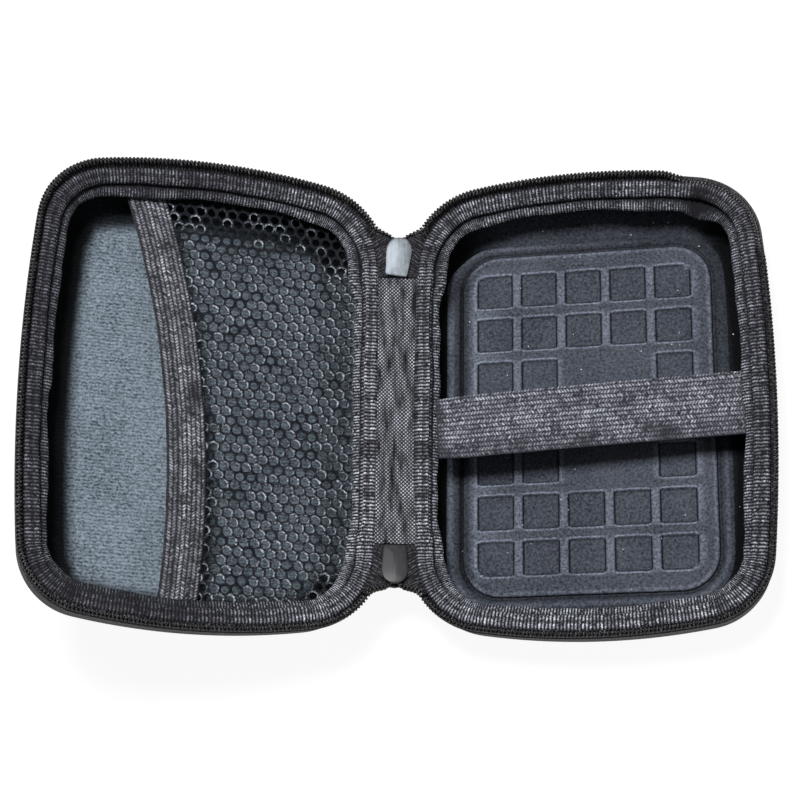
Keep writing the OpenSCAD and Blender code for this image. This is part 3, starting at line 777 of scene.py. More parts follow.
def binding_painted_light(place, inset, height):
    """Painted shade: black along the zip and under the roll, dark in the seam. Painted light:
    paler in front than behind.
    """
    lit = (0.75 + 0.4 * smooth(0.03, -0.07, place.y)) * (1 - 0.3 * smooth(0.035, 0.052, place.x))
    lit *= 1 - 0.5 * math.exp(-((place - Vector((-0.0490, -0.0600))).length / 0.014) ** 2)
    seam = 1 - 0.7 * math.exp(-((inset - 0.00495) / 0.00045) ** 2)
    return lit * seam * smooth(0.0021, 0.0031, inset) * (
        0.05 + 0.95 * smooth(RIM_H - 0.0013, RIM_H + 0.0002, height))


binding_tape = ribbed_material("binding tape", 900, 1050, (0.003, 0.003, 0.0045),
                               (0.42, 0.43, 0.49))
base_binding = swept("base_binding_tape", binding_profile, ring, folded, binding_painted_light)
closed_up(base_binding)
dress(base_binding, binding_tape, "ribbed_binding", "base", "base_binding")
lid_binding = mirror_copy(base_binding, "lid_binding_tape", lid_tapes_painted_light)
# Painted shade on the base binding: the pucker's dark folds, and black beside the bunched corner.
paint_light_and_shade(base_binding, lambda vertex: pucker_painted_shade(vertex) * (
    1 - 0.9 * math.exp(-((Vector(vertex.xy) - PUCKER - Vector((-0.0012, 0.0030))).length
                         / 0.0030) ** 2)))
dress(lid_binding, binding_tape, "ribbed_binding", "lid", "lid_binding")


# Zip tapes: thin woven polyester that stands on the rim and carries the coil on its edge. It
# stops at the spine corners, where the sliders are parked.
ROW_STOP = math.radians(145.9)
TAPE_INSET, TAPE_H = 0.0005, 0.0024
open_run = next(s for p, n, s in stations if n.y > 0 and n.x < 0
                and bearing(Vector((0, 0)), n) >= ROW_STOP)
open_ring = ([(p, n, s - whole_run) for p, n, s in stations if s >= whole_run - open_run]
             + [(p, n, s) for p, n, s in stations if s <= open_run])
tape_profile = [(a / 1000, RIM_H + b / 1000) for a, b in (
    (0.25, -0.6), (0.22, 1.0), (0.3, 2.5), (0.7, 2.5), (0.78, 1.0), (1.2, 0.45), (2.2, 0.35),
    (2.2, -0.1), (0.9, -0.6), (0.25, -0.6))]
zip_cloth = ribbed_material("zip tape cloth", 1300, 1300, (0.002, 0.002, 0.003),
                            (0.09, 0.09, 0.10), shaded=False)
base_tape = swept("base_zip_cloth", tape_profile, open_ring)
capped(base_tape)
closed_up(base_tape)
dress(base_tape, zip_cloth, "zip_tape", "base", "base_zip_tape")
lid_tape = mirror_copy(base_tape, "lid_zip_cloth")
dress(lid_tape, zip_cloth, "zip_tape", "lid", "lid_zip_tape")


# Zip coils: nylon wire wound in a flat spiral and sewn along the tape's edge, one turn for
# each tooth. Worn tops catch the light.
COIL_PITCH, COIL_W, COIL_H, WIRE_R = 0.0012, 0.0008, 0.0005, 0.00037
COIL_INSET, COIL_Z = 0.00085, RIM_H + TAPE_H + 0.0008


def coil_mesh(name, path):
    """A flat spiral of wire along a path of (place, way outwards, up, distance run)."""
    length = path[-1][3] - path[0][3]
    per_turn = 12
    count = int(length / COIL_PITCH * per_turn)
    wire = bpy.data.curves.new(name, "CURVE")
    wire.dimensions = "3D"
    wire.bevel_depth = WIRE_R
    wire.bevel_resolution = 1
    wire.use_fill_caps = True
    spline = wire.splines.new("POLY")
    spline.points.add(count)
    k = 0
    for i in range(count + 1):
        run = path[0][3] + length * i / count
        while k < len(path) - 2 and path[k + 1][3] < run:
            k += 1
        part = (run - path[k][3]) / (path[k + 1][3] - path[k][3])
        place = path[k][0].lerp(path[k + 1][0], part)
        out = path[k][1].lerp(path[k + 1][1], part).normalized()
        up = path[k][2].lerp(path[k + 1][2], part).normalized()
        turn = 2 * math.pi * i / per_turn
        spot = place + out * COIL_W * math.cos(turn) + up * COIL_H * math.sin(turn)
        spline.points[i].co = (*spot, 1)
    coil = bpy.data.objects.new(name, wire)
    bpy.context.scene.collection.objects.link(coil)
    alone(coil)
    bpy.ops.object.convert(target="MESH")
    closed_up(coil, 80)
    return coil


up_z = Vector((0, 0, 1))
coil_path = [((p - n * COIL_INSET).to_3d() + up_z * COIL_Z, n.to_3d(), up_z, s)
             for p, n, s in open_ring]
base_coil = coil_mesh("base_zip_coil", coil_path)
coil_nylon, tree, plastic = new_material("coil nylon")
coil_wear = noise_node(tree, add_node(tree, "ShaderNodeTexCoord").outputs["Object"], 900.0, 3.0)
coil_shade = mixed(tree, math_node(tree, "MULTIPLY_ADD", coil_wear, 5.0, -2.6),
                   (0.0015, 0.0015, 0.002), (0.05, 0.05, 0.052))
tree.links.new(coil_shade, plastic.inputs["Base Color"])
tree.links.new(math_node(tree, "MULTIPLY_ADD", coil_wear, 0.3, 0.24),
               plastic.inputs["Roughness"])
plastic.inputs["Specular IOR Level"].default_value = 0.25
dress(base_coil, coil_nylon, "zip_teeth", "base", "base_zip_teeth")
lid_coil = mirror_copy(base_coil, "lid_zip_coil")
dress(lid_coil, coil_nylon, "zip_teeth", "lid", "lid_zip_teeth")

# A row of stitches runs along the middle of each coil and holds it to the tape.
stitch_profile = [(COIL_INSET + 0.00026 * math.cos(math.radians(45 * i)),
                   RIM_H + TAPE_H + 0.00165 + 0.0002 * math.sin(math.radians(45 * i)))
                  for i in range(9)]
base_stitch = swept("base_zip_stitch", stitch_profile, open_ring)
closed_up(base_stitch)
dress(base_stitch, zip_cloth, "zip_tape", "base")
lid_stitch = mirror_copy(base_stitch, "lid_zip_stitch")
dress(lid_stitch, zip_cloth, "zip_tape", "lid")

# In the base's outer back corner the binding is pulled out over the coil, which is bent under
HIDDEN = Vector((0.0485, 0.0655))
BEND_START, BEND_FULL = 0.026, 0.017
for piece in (base_tape, base_coil, base_stitch):
    for vertex in piece.data.vertices:
        bent = smooth(BEND_START, BEND_FULL, (Vector(vertex.co.xy) - HIDDEN).length)
        if vertex.co.z > RIM_H:
            vertex.co.z = RIM_H + (vertex.co.z - RIM_H) * (1 - 0.8 * bent)
        vertex.co.x -= 0.0007 * bent
        vertex.co.y -= 0.0005 * bent
for i, vertex in enumerate(base_binding.data.vertices):
    place, out, run = ring[i // len(binding_profile)]
    bent = smooth(BEND_START, BEND_FULL, (place - HIDDEN).length)
    over = smooth(0.0042, 0.0024, (place - Vector(vertex.co.xy)).length)
    vertex.co.x += out.x * 0.0018 * bent * over
    vertex.co.y += out.y * 0.0018 * bent * over
    vertex.co.z += 0.0005 * bent * over


# Drive strap: wide ribbed elastic over the seat. Its spine end is caught in the seam under the
# binding, and its outer end goes down the wall under the facing.
STRAP_W, STRAP_T = 0.020, 0.0013
STRAP_LEFT, STRAP_RIGHT, STRAP_Y, STRAP_TURN = -0.0478, 0.0509, -0.004, math.radians(3)
drive_strap = new_grid("elastic_strap", 80, 24)
strap_uv = drive_strap.data.uv_layers.active.data
for loop in drive_strap.data.loops:
    spot = drive_strap.data.vertices[loop.vertex_index].co
    strap_uv[loop.index].uv = ((spot.x + 0.5) * 0.1, (spot.y + 0.5) * STRAP_W)
for vertex in drive_strap.data.vertices:
    f, g = vertex.co.x + 0.5, vertex.co.y * 2
    x = STRAP_LEFT + (STRAP_RIGHT - STRAP_LEFT) * f
    z = (RIM_H - 0.0019 + STRAP_T - 0.0048 * f + 4 * 0.0008 * f * (1 - f))
    curl = smooth(0.1, 0, f)
    y = g * STRAP_W / 2 * (1 - 0.06 * curl)
    z += 0.00025 * (1 - g * g) - 0.0003 * smooth(0.86, 1, abs(g))
    z += 0.00015 * noise.noise(Vector((x * 120, y * 200, 4)))
    z += 0.0006 * curl * smooth(0.2, 1, g) - 0.0004 * curl * smooth(-0.2, -1, g)
    spot = Matrix.Rotation(STRAP_TURN, 4, "Z") @ Vector((x, y, z))
    vertex.co = spot + Vector((0, STRAP_Y, 0))
thickened(drive_strap, STRAP_T * 0.8, -1)
closed_up(drive_strap, 60)
ribbed_elastic = ribbed_material("ribbed elastic", 680, 1050, (0.010, 0.010, 0.014),
                                 (0.28, 0.29, 0.335), sharp=0.6, knots=0.85, turned=True)


def strap_painted_shade(vertex):
    """Painted shade: dark under both ends, under the turned front edge and below."""
    x, y, z = Matrix.Rotation(-STRAP_TURN, 4, "Z") @ (vertex - Vector((0, STRAP_Y, 0)))
    across = y / STRAP_W * 2
    ends = smooth(STRAP_LEFT, STRAP_LEFT + 0.004, x) * smooth(STRAP_RIGHT, STRAP_RIGHT - 0.009, x)
    return (0.15 + 0.85 * ends) * (0.35 + 0.65 * smooth(-1, -0.82, across))


paint_light_and_shade(drive_strap, strap_painted_shade)
dress(drive_strap, ribbed_elastic, "ribbed_elastic", "base", "drive_strap")


# Pocket elastic: a ribbed band along the pocket's mouth, bowed towards the lid's open side. Its
# net side is turned under and stitched.
MOUTH_W, MOUTH_T, MOUTH_R = 0.012, 0.0012, 0.304
POCKET_Z = RIM_H - 0.0078
NET_T = 0.0005
mouth_c = Vector((0.003 + MOUTH_R, -0.035))
pocket_band = new_grid("pocket_elastic_band", 16, 140)
band_uv = pocket_band.data.uv_layers.active.data
for loop in pocket_band.data.loops:
    spot = pocket_band.data.vertices[loop.vertex_index].co
    band_uv[loop.index].uv = ((spot.y + 0.5) * 0.14, (spot.x + 0.5) * MOUTH_W)
for vertex in pocket_band.data.vertices:
    y = vertex.co.y * 0.1385
    g = -vertex.co.x * 2
    reach = MOUTH_R + g * MOUTH_W / 2
    x = mouth_c.x - math.sqrt(reach ** 2 - (y - mouth_c.y) ** 2)
    z = POCKET_Z + NET_T + MOUTH_T * 0.8 + 0.0003 * (1 - g * g)
    z -= 0.0003 * smooth(0.75, 1, abs(g)) + 0.00035 * math.exp(-((g - 0.45) / 0.07) ** 2)
    z += 0.0002 * noise.noise(Vector((x * 150, y * 80, 6)))
    x += 0.0002 * noise.noise(Vector((3, y * 110, 6)))
    vertex.co = (x, y, z)
thickened(pocket_band, MOUTH_T * 0.8, -1)
closed_up(pocket_band, 60)


def band_painted_shade(vertex):
    """Painted shade: dark along the stitched seam, on the turned-under side and along both edges.
    """
    g = (Vector(vertex.xy) - mouth_c).length - MOUTH_R
    g = g / MOUTH_W * 2
    return (1 - 0.75 * math.exp(-((g + 0.4) / 0.09) ** 2)) * (
        0.55 + 0.45 * smooth(-0.5, -0.3, g)) * smooth(-1.02, -0.86, g) * smooth(1.02, 0.9, g)


paint_light_and_shade(pocket_band, band_painted_shade)
carried(pocket_band)
hem_elastic = ribbed_material("hem elastic", 700, 1050, (0.006, 0.006, 0.008),
                              (0.29, 0.30, 0.34), sharp=0.7, knots=0.8, turned=True)
dress(pocket_band, hem_elastic, "ribbed_elastic", "lid", "pocket_elastic")


# Pocket net: knitted black mesh with round eyes in offset rows, sewn in under the facing and
# along the elastic.
NET_PITCH, NET_STRAND, NET_INSET = 0.0034, 0.0008, 0.0078
row_step = NET_PITCH * math.sqrt(3) / 2
pocket_net = new_outline("pocket_mesh", 6, NET_PITCH / math.sqrt(3))
eye = [v.co.copy() for v in pocket_net.data.vertices]
cell_points, cell_faces, cell_centres = [], [], []
for row in range(-24, 25):
    for column in range(-1, 19):
        x = -0.0475 + (column + (row % 2) / 2) * NET_PITCH
        y = row * row_step
        corner = Vector((x, abs(y))) - spine_c
        in_end = (Vector((x, abs(y))) - end_c).length < end_r - NET_INSET
        in_side = x > -CASE_W / 2 + NET_INSET and (
            abs(y) < spine_c.y or x > spine_c.x or corner.length < SPINE_CORNER_R - NET_INSET)
        off_mouth = (Vector((x, y)) - mouth_c).length > MOUTH_R + MOUTH_W / 2 - 0.003
        if in_end and in_side and off_mouth:
            start = len(cell_points)
            cell_centres.append(Vector((x, y)))
            cell_points += [(x + p.x, y + p.y, 0) for p in eye]
            cell_faces.append(range(start, start + 6))
pocket_net.data.clear_geometry()
pocket_net.data.from_pydata(cell_points, [], cell_faces)
bpy.ops.object.mode_set(mode="EDIT")
bpy.ops.mesh.select_mode(type="FACE")
bpy.ops.mesh.select_all(action="SELECT")
bpy.ops.mesh.remove_doubles(threshold=0.0001)
bpy.ops.mesh.inset(thickness=NET_STRAND / 2, use_individual=True)
bpy.ops.mesh.delete(type="FACE")
bpy.ops.mesh.select_all(action="SELECT")
bpy.ops.mesh.normals_make_consistent(inside=False)
bpy.ops.object.mode_set(mode="OBJECT")
for vertex in pocket_net.data.vertices:
    x, y = vertex.co.xy
    stray = Vector((x * 500, y * 500, 0))
    vertex.co.x += 0.00055 * noise.noise(stray)
    vertex.co.y += 0.00055 * noise.noise(stray + Vector((9, 0, 0)))
    vertex.co.z = POCKET_Z + 0.0004 * noise.noise(Vector((x * 60, y * 60, 0)))
thickened(pocket_net, 0.0006)
net_round = pocket_net.modifiers.new("round", "SUBSURF")
net_round.levels = net_round.render_levels = 1
bpy.ops.object.modifier_apply(modifier="round")
closed_up(pocket_net, 80)


def net_painted_highlight(vertex):
    """Painted highlights on the loops of yarn round the eyes, here and there, and along the back
    wall.
    """
    place = Vector(vertex.xy)
    centre = min(cell_centres, key=lambda spot: (place - spot).length_squared)
    away = place - centre
    loop = math.exp(-((away.length - NET_PITCH / 2 + NET_STRAND / 2) / 0.00024) ** 2)
    luck = noise.noise(Vector((centre.x * 900, centre.y * 900, 4.4)))
    lit = smooth(-0.0012, 0.0012, away.y - away.x) * smooth(-0.5, 0.1, luck)
    back = smooth(0.047, 0.052, vertex.y)
    return 0.02 + 0.9 * loop * (lit + (smooth(0.1, 0.4, luck) * smooth(
        -0.0016, 0.0006, away.y) - lit) * back)


paint_light_and_shade(pocket_net, net_painted_highlight)
carried(pocket_net)
net_yarn, tree, yarn = new_material("net yarn")
net_fuzz_and_glints = noise_node(tree, add_node(tree, "ShaderNodeTexCoord").outputs["Object"], 1700.0, 4.0)
# Painted highlights: where the stored tone is high, the fuzz noise lightens the yarn in specks.
net_light = math_node(tree, "MULTIPLY", math_node(tree, "MULTIPLY_ADD", net_fuzz_and_glints, 5.0, -1.9),
                      add_node(tree, "ShaderNodeAttribute", attribute_name="tone").outputs["Fac"])
net_shade = mixed(tree, net_light, (0.002, 0.0025, 0.0035), (0.28, 0.31, 0.35))
surfaced(tree, yarn, net_shade, net_fuzz_and_glints, 0.7, 0.0003, 0.75, 0.03)
dress(pocket_net, net_yarn, "black_net", "lid", "pocket_net")


# Spine webbing: two woven nylon strips, inner and outer, sewn to both rims. Their edges bend
# at the fold lines; the middle stays flat.
SPINE_W, HALF_LEAN = 0.0098, LID_LEAN / 2
spine_mid = Vector((TAPE_INSET - CASE_W / 2 - SPINE_W / 2 * math.cos(HALF_LEAN), 0,
                    RIM_H + SPINE_W / 2 * math.sin(HALF_LEAN)))
spine_across = Vector((math.cos(HALF_LEAN), 0, -math.sin(HALF_LEAN)))
spine_in = Vector((math.sin(HALF_LEAN), 0, math.cos(HALF_LEAN)))
SPINE_PLACE = Matrix.Translation(spine_mid) @ Matrix(
    (spine_across, (0, 1, 0), spine_in)).transposed().to_4x4()

web_tree, web_in, web_out = new_group("crossed weave", [("Vector", None), ("Picks", 900.0)],
                                      ["Height", "Shade"])
web_split = add_node(web_tree, "ShaderNodeSeparateXYZ", {0: web_in["Vector"]}).outputs
web_a = math_node(web_tree, "MULTIPLY", math_node(
    web_tree, "MULTIPLY", math_node(web_tree, "ADD", web_split["X"], web_split["Y"]),
    web_in["Picks"]), 3.1416)
web_b = math_node(web_tree, "MULTIPLY", math_node(
    web_tree, "MULTIPLY", math_node(web_tree, "SUBTRACT", web_split["X"], web_split["Y"]),
    web_in["Picks"]), 3.1416)
web_knots = math_node(web_tree, "POWER", math_node(web_tree, "ABSOLUTE", math_node(
    web_tree, "MULTIPLY", math_node(web_tree, "SINE", web_a),
    math_node(web_tree, "SINE", web_b))), 2.2)
web_shine = noise_node(web_tree, add_node(web_tree, "ShaderNodeMapping", {
    "Vector": web_in["Vector"], "Scale": (1.0, 0.22, 1.0)}).outputs[0], 450.0, 3.0)
web_tree.links.new(web_knots, web_out["Height"])
# Painted shade between the knots, and a painted sheen from long streaks of noise.
web_tree.links.new(math_node(web_tree, "MULTIPLY", web_knots, math_node(
    web_tree, "MULTIPLY_ADD", web_shine, 3.6, -1.25)), web_out["Shade"])

spine_webbing, tree, cloth = new_material("spine webbing")
web = add_node(tree, "ShaderNodeGroup", {
    "Vector": add_node(tree, "ShaderNodeTexCoord").outputs["UV"], "Picks": 850},
    node_tree=web_tree)
web_shade = mixed(tree, web.outputs["Shade"], (0.002, 0.002, 0.003), (0.40, 0.42, 0.47))
surfaced(tree, cloth, web_shade, web.outputs["Height"], 0.8, 0.0003, 0.6, 0.08)


def webbing(name, points, half_l, thick):
    """A woven strip whose section runs through points of (across, up) in the spine's frame."""
    rows = 90
    strip = new_grid(name, len(points) - 1, rows)
    lengths = strip.data.uv_layers.active.data
    for loop in strip.data.loops:
        row, column = divmod(loop.vertex_index, len(points))
        lengths[loop.index].uv = (points[column][0], (row / rows * 2 - 1) * half_l)
    for i, vertex in enumerate(strip.data.vertices):
        row, column = divmod(i, len(points))
        across, up = points[column]
        along = (row / rows * 2 - 1) * half_l
        slack = 0.00025 * noise.noise(Vector((across * 200, along * 45, up * 500)))
        vertex.co = SPINE_PLACE @ Vector((across, along, up + slack))
    thickened(strip, thick)
    closed_up(strip, 70)
    return strip


STRIP_HALF_L, WEB_T, BEND_REACH = 0.043, 0.0007, 0.0012
flat_edge = SPINE_W / 2 - 0.0009
middle = [(-flat_edge + 2 * flat_edge * i / 12, 0.0006 - 0.0001 * math.cos(math.pi * i / 3))
          for i in range(13)]
spine_inner = webbing("spine_inner_webbing", middle, STRIP_HALF_L, WEB_T)
dress(spine_inner, spine_webbing, "spine_webbing", "spine", "spine_inner_strip")
spine_outer = webbing("spine_outer_webbing", [(a, -b) for a, b in middle], STRIP_HALF_L, WEB_T)
dress(spine_outer, nylon, "spine_webbing", "spine", "spine_outer_strip")

# Each strip's edge runs over the fold line and is sewn in under the binding.
fold_half = SPINE_W / 2
for side, half in ((1, "base"), (-1, "lid")):
    for where, level, cloth_used in (("inner", 0.0006, spine_webbing), ("outer", -0.0006, nylon)):
        reach = 0.0024 if where == "inner" else 0.0007
        drop = math.sin(HALF_LEAN)
        edge = [(side * (flat_edge - 0.0002 + (fold_half + reach - flat_edge + 0.0002) * i / 12),
                 level + max(0, flat_edge + (fold_half + reach - flat_edge) * i / 12 - fold_half)
                 * drop) for i in range(13)]
        fold = webbing(f"{half}_{where}_fold", edge, STRIP_HALF_L + 0.001, WEB_T)
        fold.data.materials.append(cloth_used)
        line = spine_mid + spine_across * side * fold_half
        inside = line - (spine_across * side) * BEND_REACH
        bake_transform(fold)


# Closed ends of the zip: the tape between the webbing strips, curling up into each slider.
for tail in ("zip_tail_top", "zip_tail_bottom"):
    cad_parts[tail].data.materials.clear()
    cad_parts[tail].data.materials.append(zip_cloth)


# Open ends of the zip rows: tape and coil swing in from each rim to the slider's nose.
ZIP_R = SPINE_CORNER_R - TAPE_INSET
SLIDER_L, SLIDER_W = 0.0125, 0.0082
PARKED = 8.8  # degrees round the spine corner from the end of the straight part
slider_sag = SLIDER_L ** 2 / (16 * ZIP_R)
SLIDER_PLACE = SPINE_PLACE @ Matrix.Translation((0, spine_c.y, ZIP_R)) @ Matrix.Rotation(
    math.radians(PARKED), 4, "X") @ Matrix.Translation((0, 0, slider_sag - ZIP_R))
FLIP_Y = Matrix.Scale(-1, 4, (0, 1, 0))
last_p, last_n = open_ring[-1][:2]
for end, flip in (("top", Matrix.Identity(4)), ("bottom", FLIP_Y)):
    for side, half in ((1, "base"), (-1, "lid")):
        place = Matrix.Identity(4) if half == "base" else LID_PLACE
        out = (place.to_3x3() @ last_n.to_3d()).normalized()
        up = (place.to_3x3() @ up_z).normalized()
        tangent = (place.to_3x3() @ Vector((-last_n.y, last_n.x, 0))).normalized()
        start = place @ ((last_p - last_n * COIL_INSET).to_3d() + up_z * COIL_Z)
        nose = SLIDER_PLACE @ Vector((side * 0.0015, SLIDER_L / 2 - 0.0015, 0))
        inward = -(SLIDER_PLACE.to_3x3() @ Vector((0, 1, 0))).normalized()
        flat_up = (SLIDER_PLACE.to_3x3() @ Vector((side, 0, 0))).normalized()
        reach = (nose - start).length
        a, b = start + tangent * reach * 0.4, nose - inward * reach * 0.4
        path, run, before = [], 0, None
        for i in range(17):
            t = i / 16
            spot = (start * (1 - t) ** 3 + 3 * a * t * (1 - t) ** 2
                    + 3 * b * t * t * (1 - t) + nose * t ** 3)
            run += (spot - before).length if before else 0
            before = spot
            path.append((flip @ spot, flip.to_3x3() @ out.lerp(spine_in * -1, t).normalized(),
                         flip.to_3x3() @ up.lerp(-flat_up, t).normalized(), run))
        swing = coil_mesh(f"{half}_coil_{end}", path)
        swing.data.materials.append(coil_nylon)
        line = spine_mid + spine_across * side * fold_half
        inside = tuple(line - (spine_across * side) * 0.001)
        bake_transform(swing)

        # The tape fills the corner between the rim, the zip and the end of the webbing
        rim_line = [(p, n) for p, n, r in stations if n.x < 0 and p.y > STRIP_HALF_L - 0.001
                    and bearing(Vector((0, 0)), n) >= ROW_STOP - 0.02]
        rows = 30
        cloth_end = new_grid(f"{half}_tape_{end}", 8, rows)
        lengths = cloth_end.data.uv_layers.active.data
        for loop in cloth_end.data.loops:
            row, column = divmod(loop.vertex_index, 9)
            lengths[loop.index].uv = (row * 0.0007, column * 0.0008)
        for i, vertex in enumerate(cloth_end.data.vertices):
            row, column = divmod(i, 9)
            f = row / rows
            p, n = rim_line[round(f * (len(rim_line) - 1))]
            rim_spot = place @ ((p - n * 0.0022).to_3d() + up_z * (RIM_H + 0.0006))
            if f < 0.5:
                zip_spot = flip @ path[round(f * 32)][0] - up * 0.0006
            else:
                g = (f - 0.5) * 2
                turn = math.radians(PARKED + 14) * (1 - g)
                zip_spot = SPINE_PLACE @ Vector((
                    side * (0.0015 + 0.0018 * g),
                    spine_c.y * (1 - 0.065 * g) + ZIP_R * math.sin(turn),
                    ZIP_R - (ZIP_R - 0.0006) * math.cos(turn)))
            part = column / 8
            spot = rim_spot.lerp(zip_spot, part)
            spot += spine_in * (0.0012 * math.sin(math.pi * part) * (1 - f * 0.7))
            vertex.co = flip @ spot
        thickened(cloth_end, 0.0005)
        closed_up(cloth_end, 60)
        cloth_end.data.materials.append(zip_cloth)
        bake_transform(cloth_end)


# Sliders: two cast shield plates on a post, with flanges along their back half and a bail on
# the outer plate. The upper one is bare satin metal, the lower one painted black.
PLATE_T, CHANNEL_H = 0.0008, 0.003
shield = [(0.38, -0.5), (0.425, -0.46), (0.46, -0.2), (0.5, 0.08), (0.49, 0.2), (0.44, 0.32),
          (0.34, 0.42), (0.2, 0.48), (0.0, 0.5)]
shield += [(-a, b) for a, b in shield[-2::-1]]
slider = new_outline("slider_top_metal", len(shield))
for vertex, (a, b) in zip(slider.data.vertices, shield):
    vertex.co = (a * SLIDER_W, b * SLIDER_L, CHANNEL_H / 2)
bpy.ops.object.mode_set(mode="EDIT")
bpy.ops.mesh.select_all(action="SELECT")
bpy.ops.mesh.extrude_region_move(TRANSFORM_OT_translate={"value": (0, 0, PLATE_T)})
for narrower, shorter, rise in ((0.8, 0.88, 0.00012), (0.2, 0.62, 0.00035)):
    bpy.ops.mesh.extrude_region_move(TRANSFORM_OT_translate={"value": (0, 0, rise)})
    bpy.ops.transform.resize(value=(narrower, shorter, 1),
                             center_override=(0, 0.0002, CHANNEL_H / 2))
bpy.ops.mesh.select_all(action="SELECT")
bpy.ops.mesh.duplicate()
bpy.ops.transform.rotate(value=math.pi, orient_axis="Y", center_override=(0, 0, 0))


def block(x0, x1, y0, y1, z0, z1):
    """Adds a box to the mesh in edit mode."""
    bpy.ops.mesh.primitive_cube_add(size=1, location=((x0 + x1) / 2, (y0 + y1) / 2,
                                                      (z0 + z1) / 2),
                                    scale=(x1 - x0, y1 - y0, z1 - z0))


def rounded(piece, width, segments, angle):
    """Takes the sharpness off a metal piece's edges."""
    edges = piece.modifiers.new("rounded", "BEVEL")
    edges.width = width
    edges.segments = segments
    edges.limit_method = "ANGLE"
    edges.angle_limit = math.radians(angle)
    bpy.ops.object.modifier_apply(modifier="rounded")
    bpy.ops.object.shade_smooth_by_angle(angle=math.radians(40))


for side in (-1, 1):
    for level in (-1, 1):
        inner, outer = 0.0011 * level, (CHANNEL_H / 2 + 0.0003) * level
        block(side * SLIDER_W * 0.37 - 0.0004, side * SLIDER_W * 0.37 + 0.0004,
              -SLIDER_L * 0.48, -SLIDER_L * 0.08, min(inner, outer), max(inner, outer))
block(-0.0006, 0.0006, 0.0015, 0.004, -CHANNEL_H / 2 - 0.0002, CHANNEL_H / 2 + 0.0002)
plate_out = CHANNEL_H / 2 + PLATE_T
for side in (-1, 1):
    block(-0.0008, 0.0008, side * 0.0026 - 0.0004, side * 0.0026 + 0.0004, -plate_out - 0.0024,
          -plate_out + 0.0002)
block(-0.0008, 0.0008, -0.003, 0.003, -plate_out - 0.0026, -plate_out - 0.0018)
bpy.ops.mesh.select_all(action="SELECT")
bpy.ops.mesh.normals_make_consistent(inside=False)
bpy.ops.object.mode_set(mode="OBJECT")
rounded(slider, 0.00022, 3, 35)

scuff_tree, scuff_in, scuff_out = new_group("scuffs", [("Vector", None)], ["Mask", "Height"])
scuff_long = add_node(scuff_tree, "ShaderNodeMapping", {
    "Vector": scuff_in["Vector"], "Scale": (900, 120, 900)}).outputs[0]
scuff_marks = noise_node(scuff_tree, scuff_long, 1.0, 6.0)
scuff_spots = noise_node(scuff_tree, scuff_in["Vector"], 350.0, 4.0)
scuff_tree.links.new(math_node(scuff_tree, "MULTIPLY", scuff_marks, scuff_spots),
                     scuff_out["Mask"])
scuff_tree.links.new(scuff_marks, scuff_out["Height"])


def metal_material(name, dark, light, metallic, roughness):
    """Cast metal between two colours, with fine scuffs along the slider."""
    made, tree, metal = new_material(name)
    scuffs = add_node(tree, "ShaderNodeGroup", {
        "Vector": add_node(tree, "ShaderNodeTexCoord").outputs["Object"]}, node_tree=scuff_tree)
    mask = math_node(tree, "MULTIPLY", scuffs.outputs["Mask"], 2.6)
    surfaced(tree, metal, mixed(tree, mask, dark, light), scuffs.outputs["Height"], 0.15, 0.0001,
             roughness, 0.2)
    tree.links.new(math_node(tree, "MULTIPLY_ADD", scuffs.outputs["Mask"], 0.4, roughness),
                   metal.inputs["Roughness"])
    metal.inputs["Metallic"].default_value = metallic
    return made


satin_metal = metal_material("satin metal", (0.022, 0.026, 0.03), (0.13, 0.145, 0.16), 0.7, 0.45)
black_paint = metal_material("black paint", (0.002, 0.002, 0.003), (0.010, 0.010, 0.012), 0.0,
                             0.36)
slider_bottom = mirror_copy(slider, "slider_bottom_metal", place=FLIP_Y @ SLIDER_PLACE)
slider.data.transform(SLIDER_PLACE @ Matrix.Rotation(math.radians(-6), 4, "Z"))
dress(slider, satin_metal, "satin_metal", "slider_top", "slider_top")
dress(slider_bottom, black_paint, "black_metal", "slider_bottom", "slider_bottom")


# Pull tabs: stamped from the same metal, with a window round the bail and a round end. They
# hang outside the case.
PULL_L, PULL_W, PULL_T = 0.014, 0.006, 0.0012
tab = [(0.5, 0.0004), (0.5, -0.0105), (0.46, -0.0122), (0.36, -0.0134), (0.2, -PULL_L)]
tab += [(-a, b) for a, b in tab[::-1]]
pull = new_outline("pull_top_tab", len(tab))
for vertex, (a, b) in zip(pull.data.vertices, tab):
    vertex.co = (a * PULL_W, -PULL_T / 2, b)
bpy.ops.object.mode_set(mode="EDIT")
bpy.ops.mesh.select_all(action="SELECT")
bpy.ops.mesh.extrude_region_move(TRANSFORM_OT_translate={"value": (0, PULL_T, 0)})
bpy.ops.object.mode_set(mode="OBJECT")
bpy.ops.mesh.primitive_cube_add(size=1, location=(0, 0, -0.0016), scale=(0.0027, 0.01, 0.0052))
window = bpy.context.object
cut = pull.modifiers.new("window", "BOOLEAN")
cut.object = window
cut.operation = "DIFFERENCE"
alone(pull)
bpy.ops.object.modifier_apply(modifier="window")
bpy.data.objects.remove(window)
bpy.ops.object.mode_set(mode="EDIT")
bpy.ops.mesh.primitive_cylinder_add(vertices=20, radius=0.00055, depth=PULL_W, location=(0, 0, 0),
                                    rotation=(0, math.pi / 2, 0))
bpy.ops.object.mode_set(mode="OBJECT")
rounded(pull, 0.0002, 2, 40)
pin_reach = ZIP_R - slider_sag + plate_out + 0.0009
pin_turn = math.radians(PARKED)
PULL_PLACE = SPINE_PLACE @ Matrix.Translation((
    0, spine_c.y + pin_reach * math.sin(pin_turn), ZIP_R - pin_reach * math.cos(pin_turn)))
pull_bottom = mirror_copy(pull, "pull_bottom_tab", place=FLIP_Y @ PULL_PLACE)
pull.data.transform(PULL_PLACE)
dress(pull, satin_metal, "satin_metal", "pull_top", "pull_top")
dress(pull_bottom, black_paint, "black_metal", "pull_bottom", "pull_bottom")


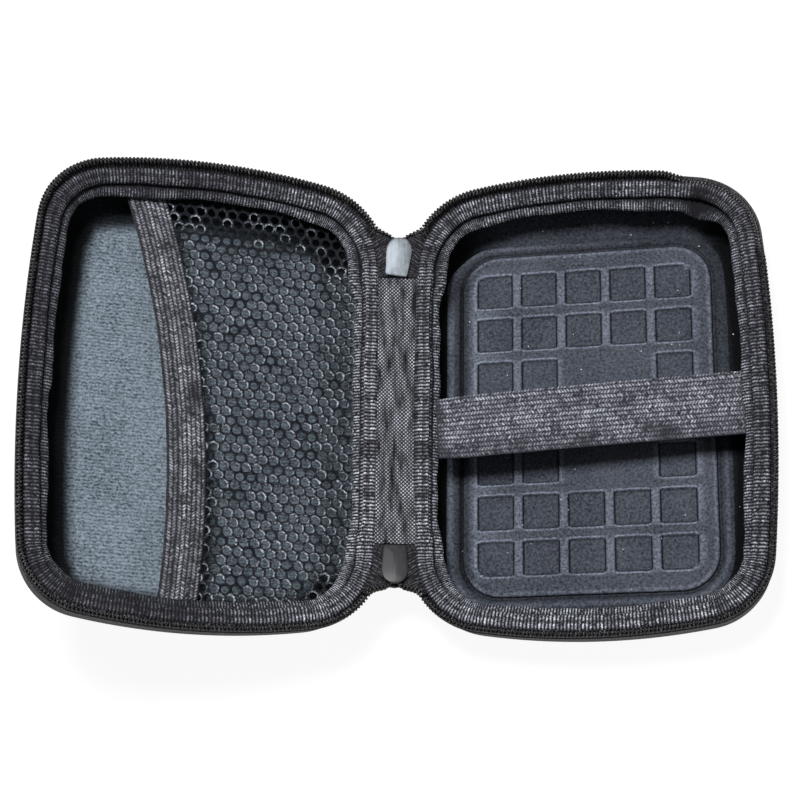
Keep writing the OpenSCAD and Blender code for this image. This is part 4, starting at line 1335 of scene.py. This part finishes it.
# Floor and light: a white floor under soft daylight, strongest from the upper left.
bpy.context.scene.view_settings.view_transform = "Standard"
bpy.ops.mesh.primitive_plane_add(size=6, location=(0, 0, -0.0003))
floor = bpy.context.object
floor.name = "floor"
paper, tree, sheet_skin = new_material("white paper")
sheet_skin.inputs["Base Color"].default_value = (0.86, 0.86, 0.86, 1)
sheet_skin.inputs["Roughness"].default_value = 0.9
paper_coords = add_node(tree, "ShaderNodeTexCoord").outputs["Object"]
paper_grain = add_node(tree, "ShaderNodeTexNoise", {"Vector": paper_coords, "Scale": 400.0})
paper_bump = add_node(tree, "ShaderNodeBump", {
    "Strength": 0.02, "Distance": 0.0002, "Height": paper_grain.outputs["Fac"]})
tree.links.new(paper_bump.outputs[0], sheet_skin.inputs["Normal"])


def seen_by_camera(tree):
    """1 for rays that the camera sees, straight, mirrored or through glass, 0 for the rest."""
    rays = add_node(tree, "ShaderNodeLightPath").outputs
    return math_node(tree, "MINIMUM", math_node(tree, "ADD", math_node(
        tree, "ADD", rays["Is Camera Ray"], rays["Is Glossy Ray"]),
        rays["Is Transmission Ray"]), 1.0)


glow = add_node(tree, "ShaderNodeEmission", {"Color": (1, 1, 1, 1), "Strength": 1.0})
blend_floor = add_node(tree, "ShaderNodeMixShader", {
    0: math_node(tree, "MULTIPLY", seen_by_camera(tree), 0.93), 1: sheet_skin.outputs[0],
    2: glow.outputs[0]})
tree.links.new(blend_floor.outputs[0], tree.nodes["Material Output"].inputs["Surface"])
floor.data.materials.append(paper)

world = bpy.data.worlds.new("daylight")
bpy.context.scene.world = world
world.use_nodes = True
sky = world.node_tree.nodes["Background"]
sky.inputs["Color"].default_value = (1, 1, 1, 1)
world.node_tree.links.new(
    math_node(world.node_tree, "MULTIPLY_ADD", seen_by_camera(world.node_tree), 0.88, 0.12),
    sky.inputs["Strength"])


def lamp(name, place, aim, size, power):
    """A soft square lamp at a place, turned towards its aim."""
    light = bpy.data.lights.new(name, "AREA")
    light.size = size
    light.energy = power
    new = bpy.data.objects.new(name, light)
    bpy.context.scene.collection.objects.link(new)
    new.location = place
    new.rotation_euler = (Vector(aim) - Vector(place)).to_track_quat("-Z", "Y").to_euler()


lamp("key", (-0.04, 0.1, 0.85), (-0.05, 0, 0.02), 0.2, 16)
lamp("fill", (0.5, -0.3, 0.7), (-0.05, 0, 0.02), 0.6, 1.5)
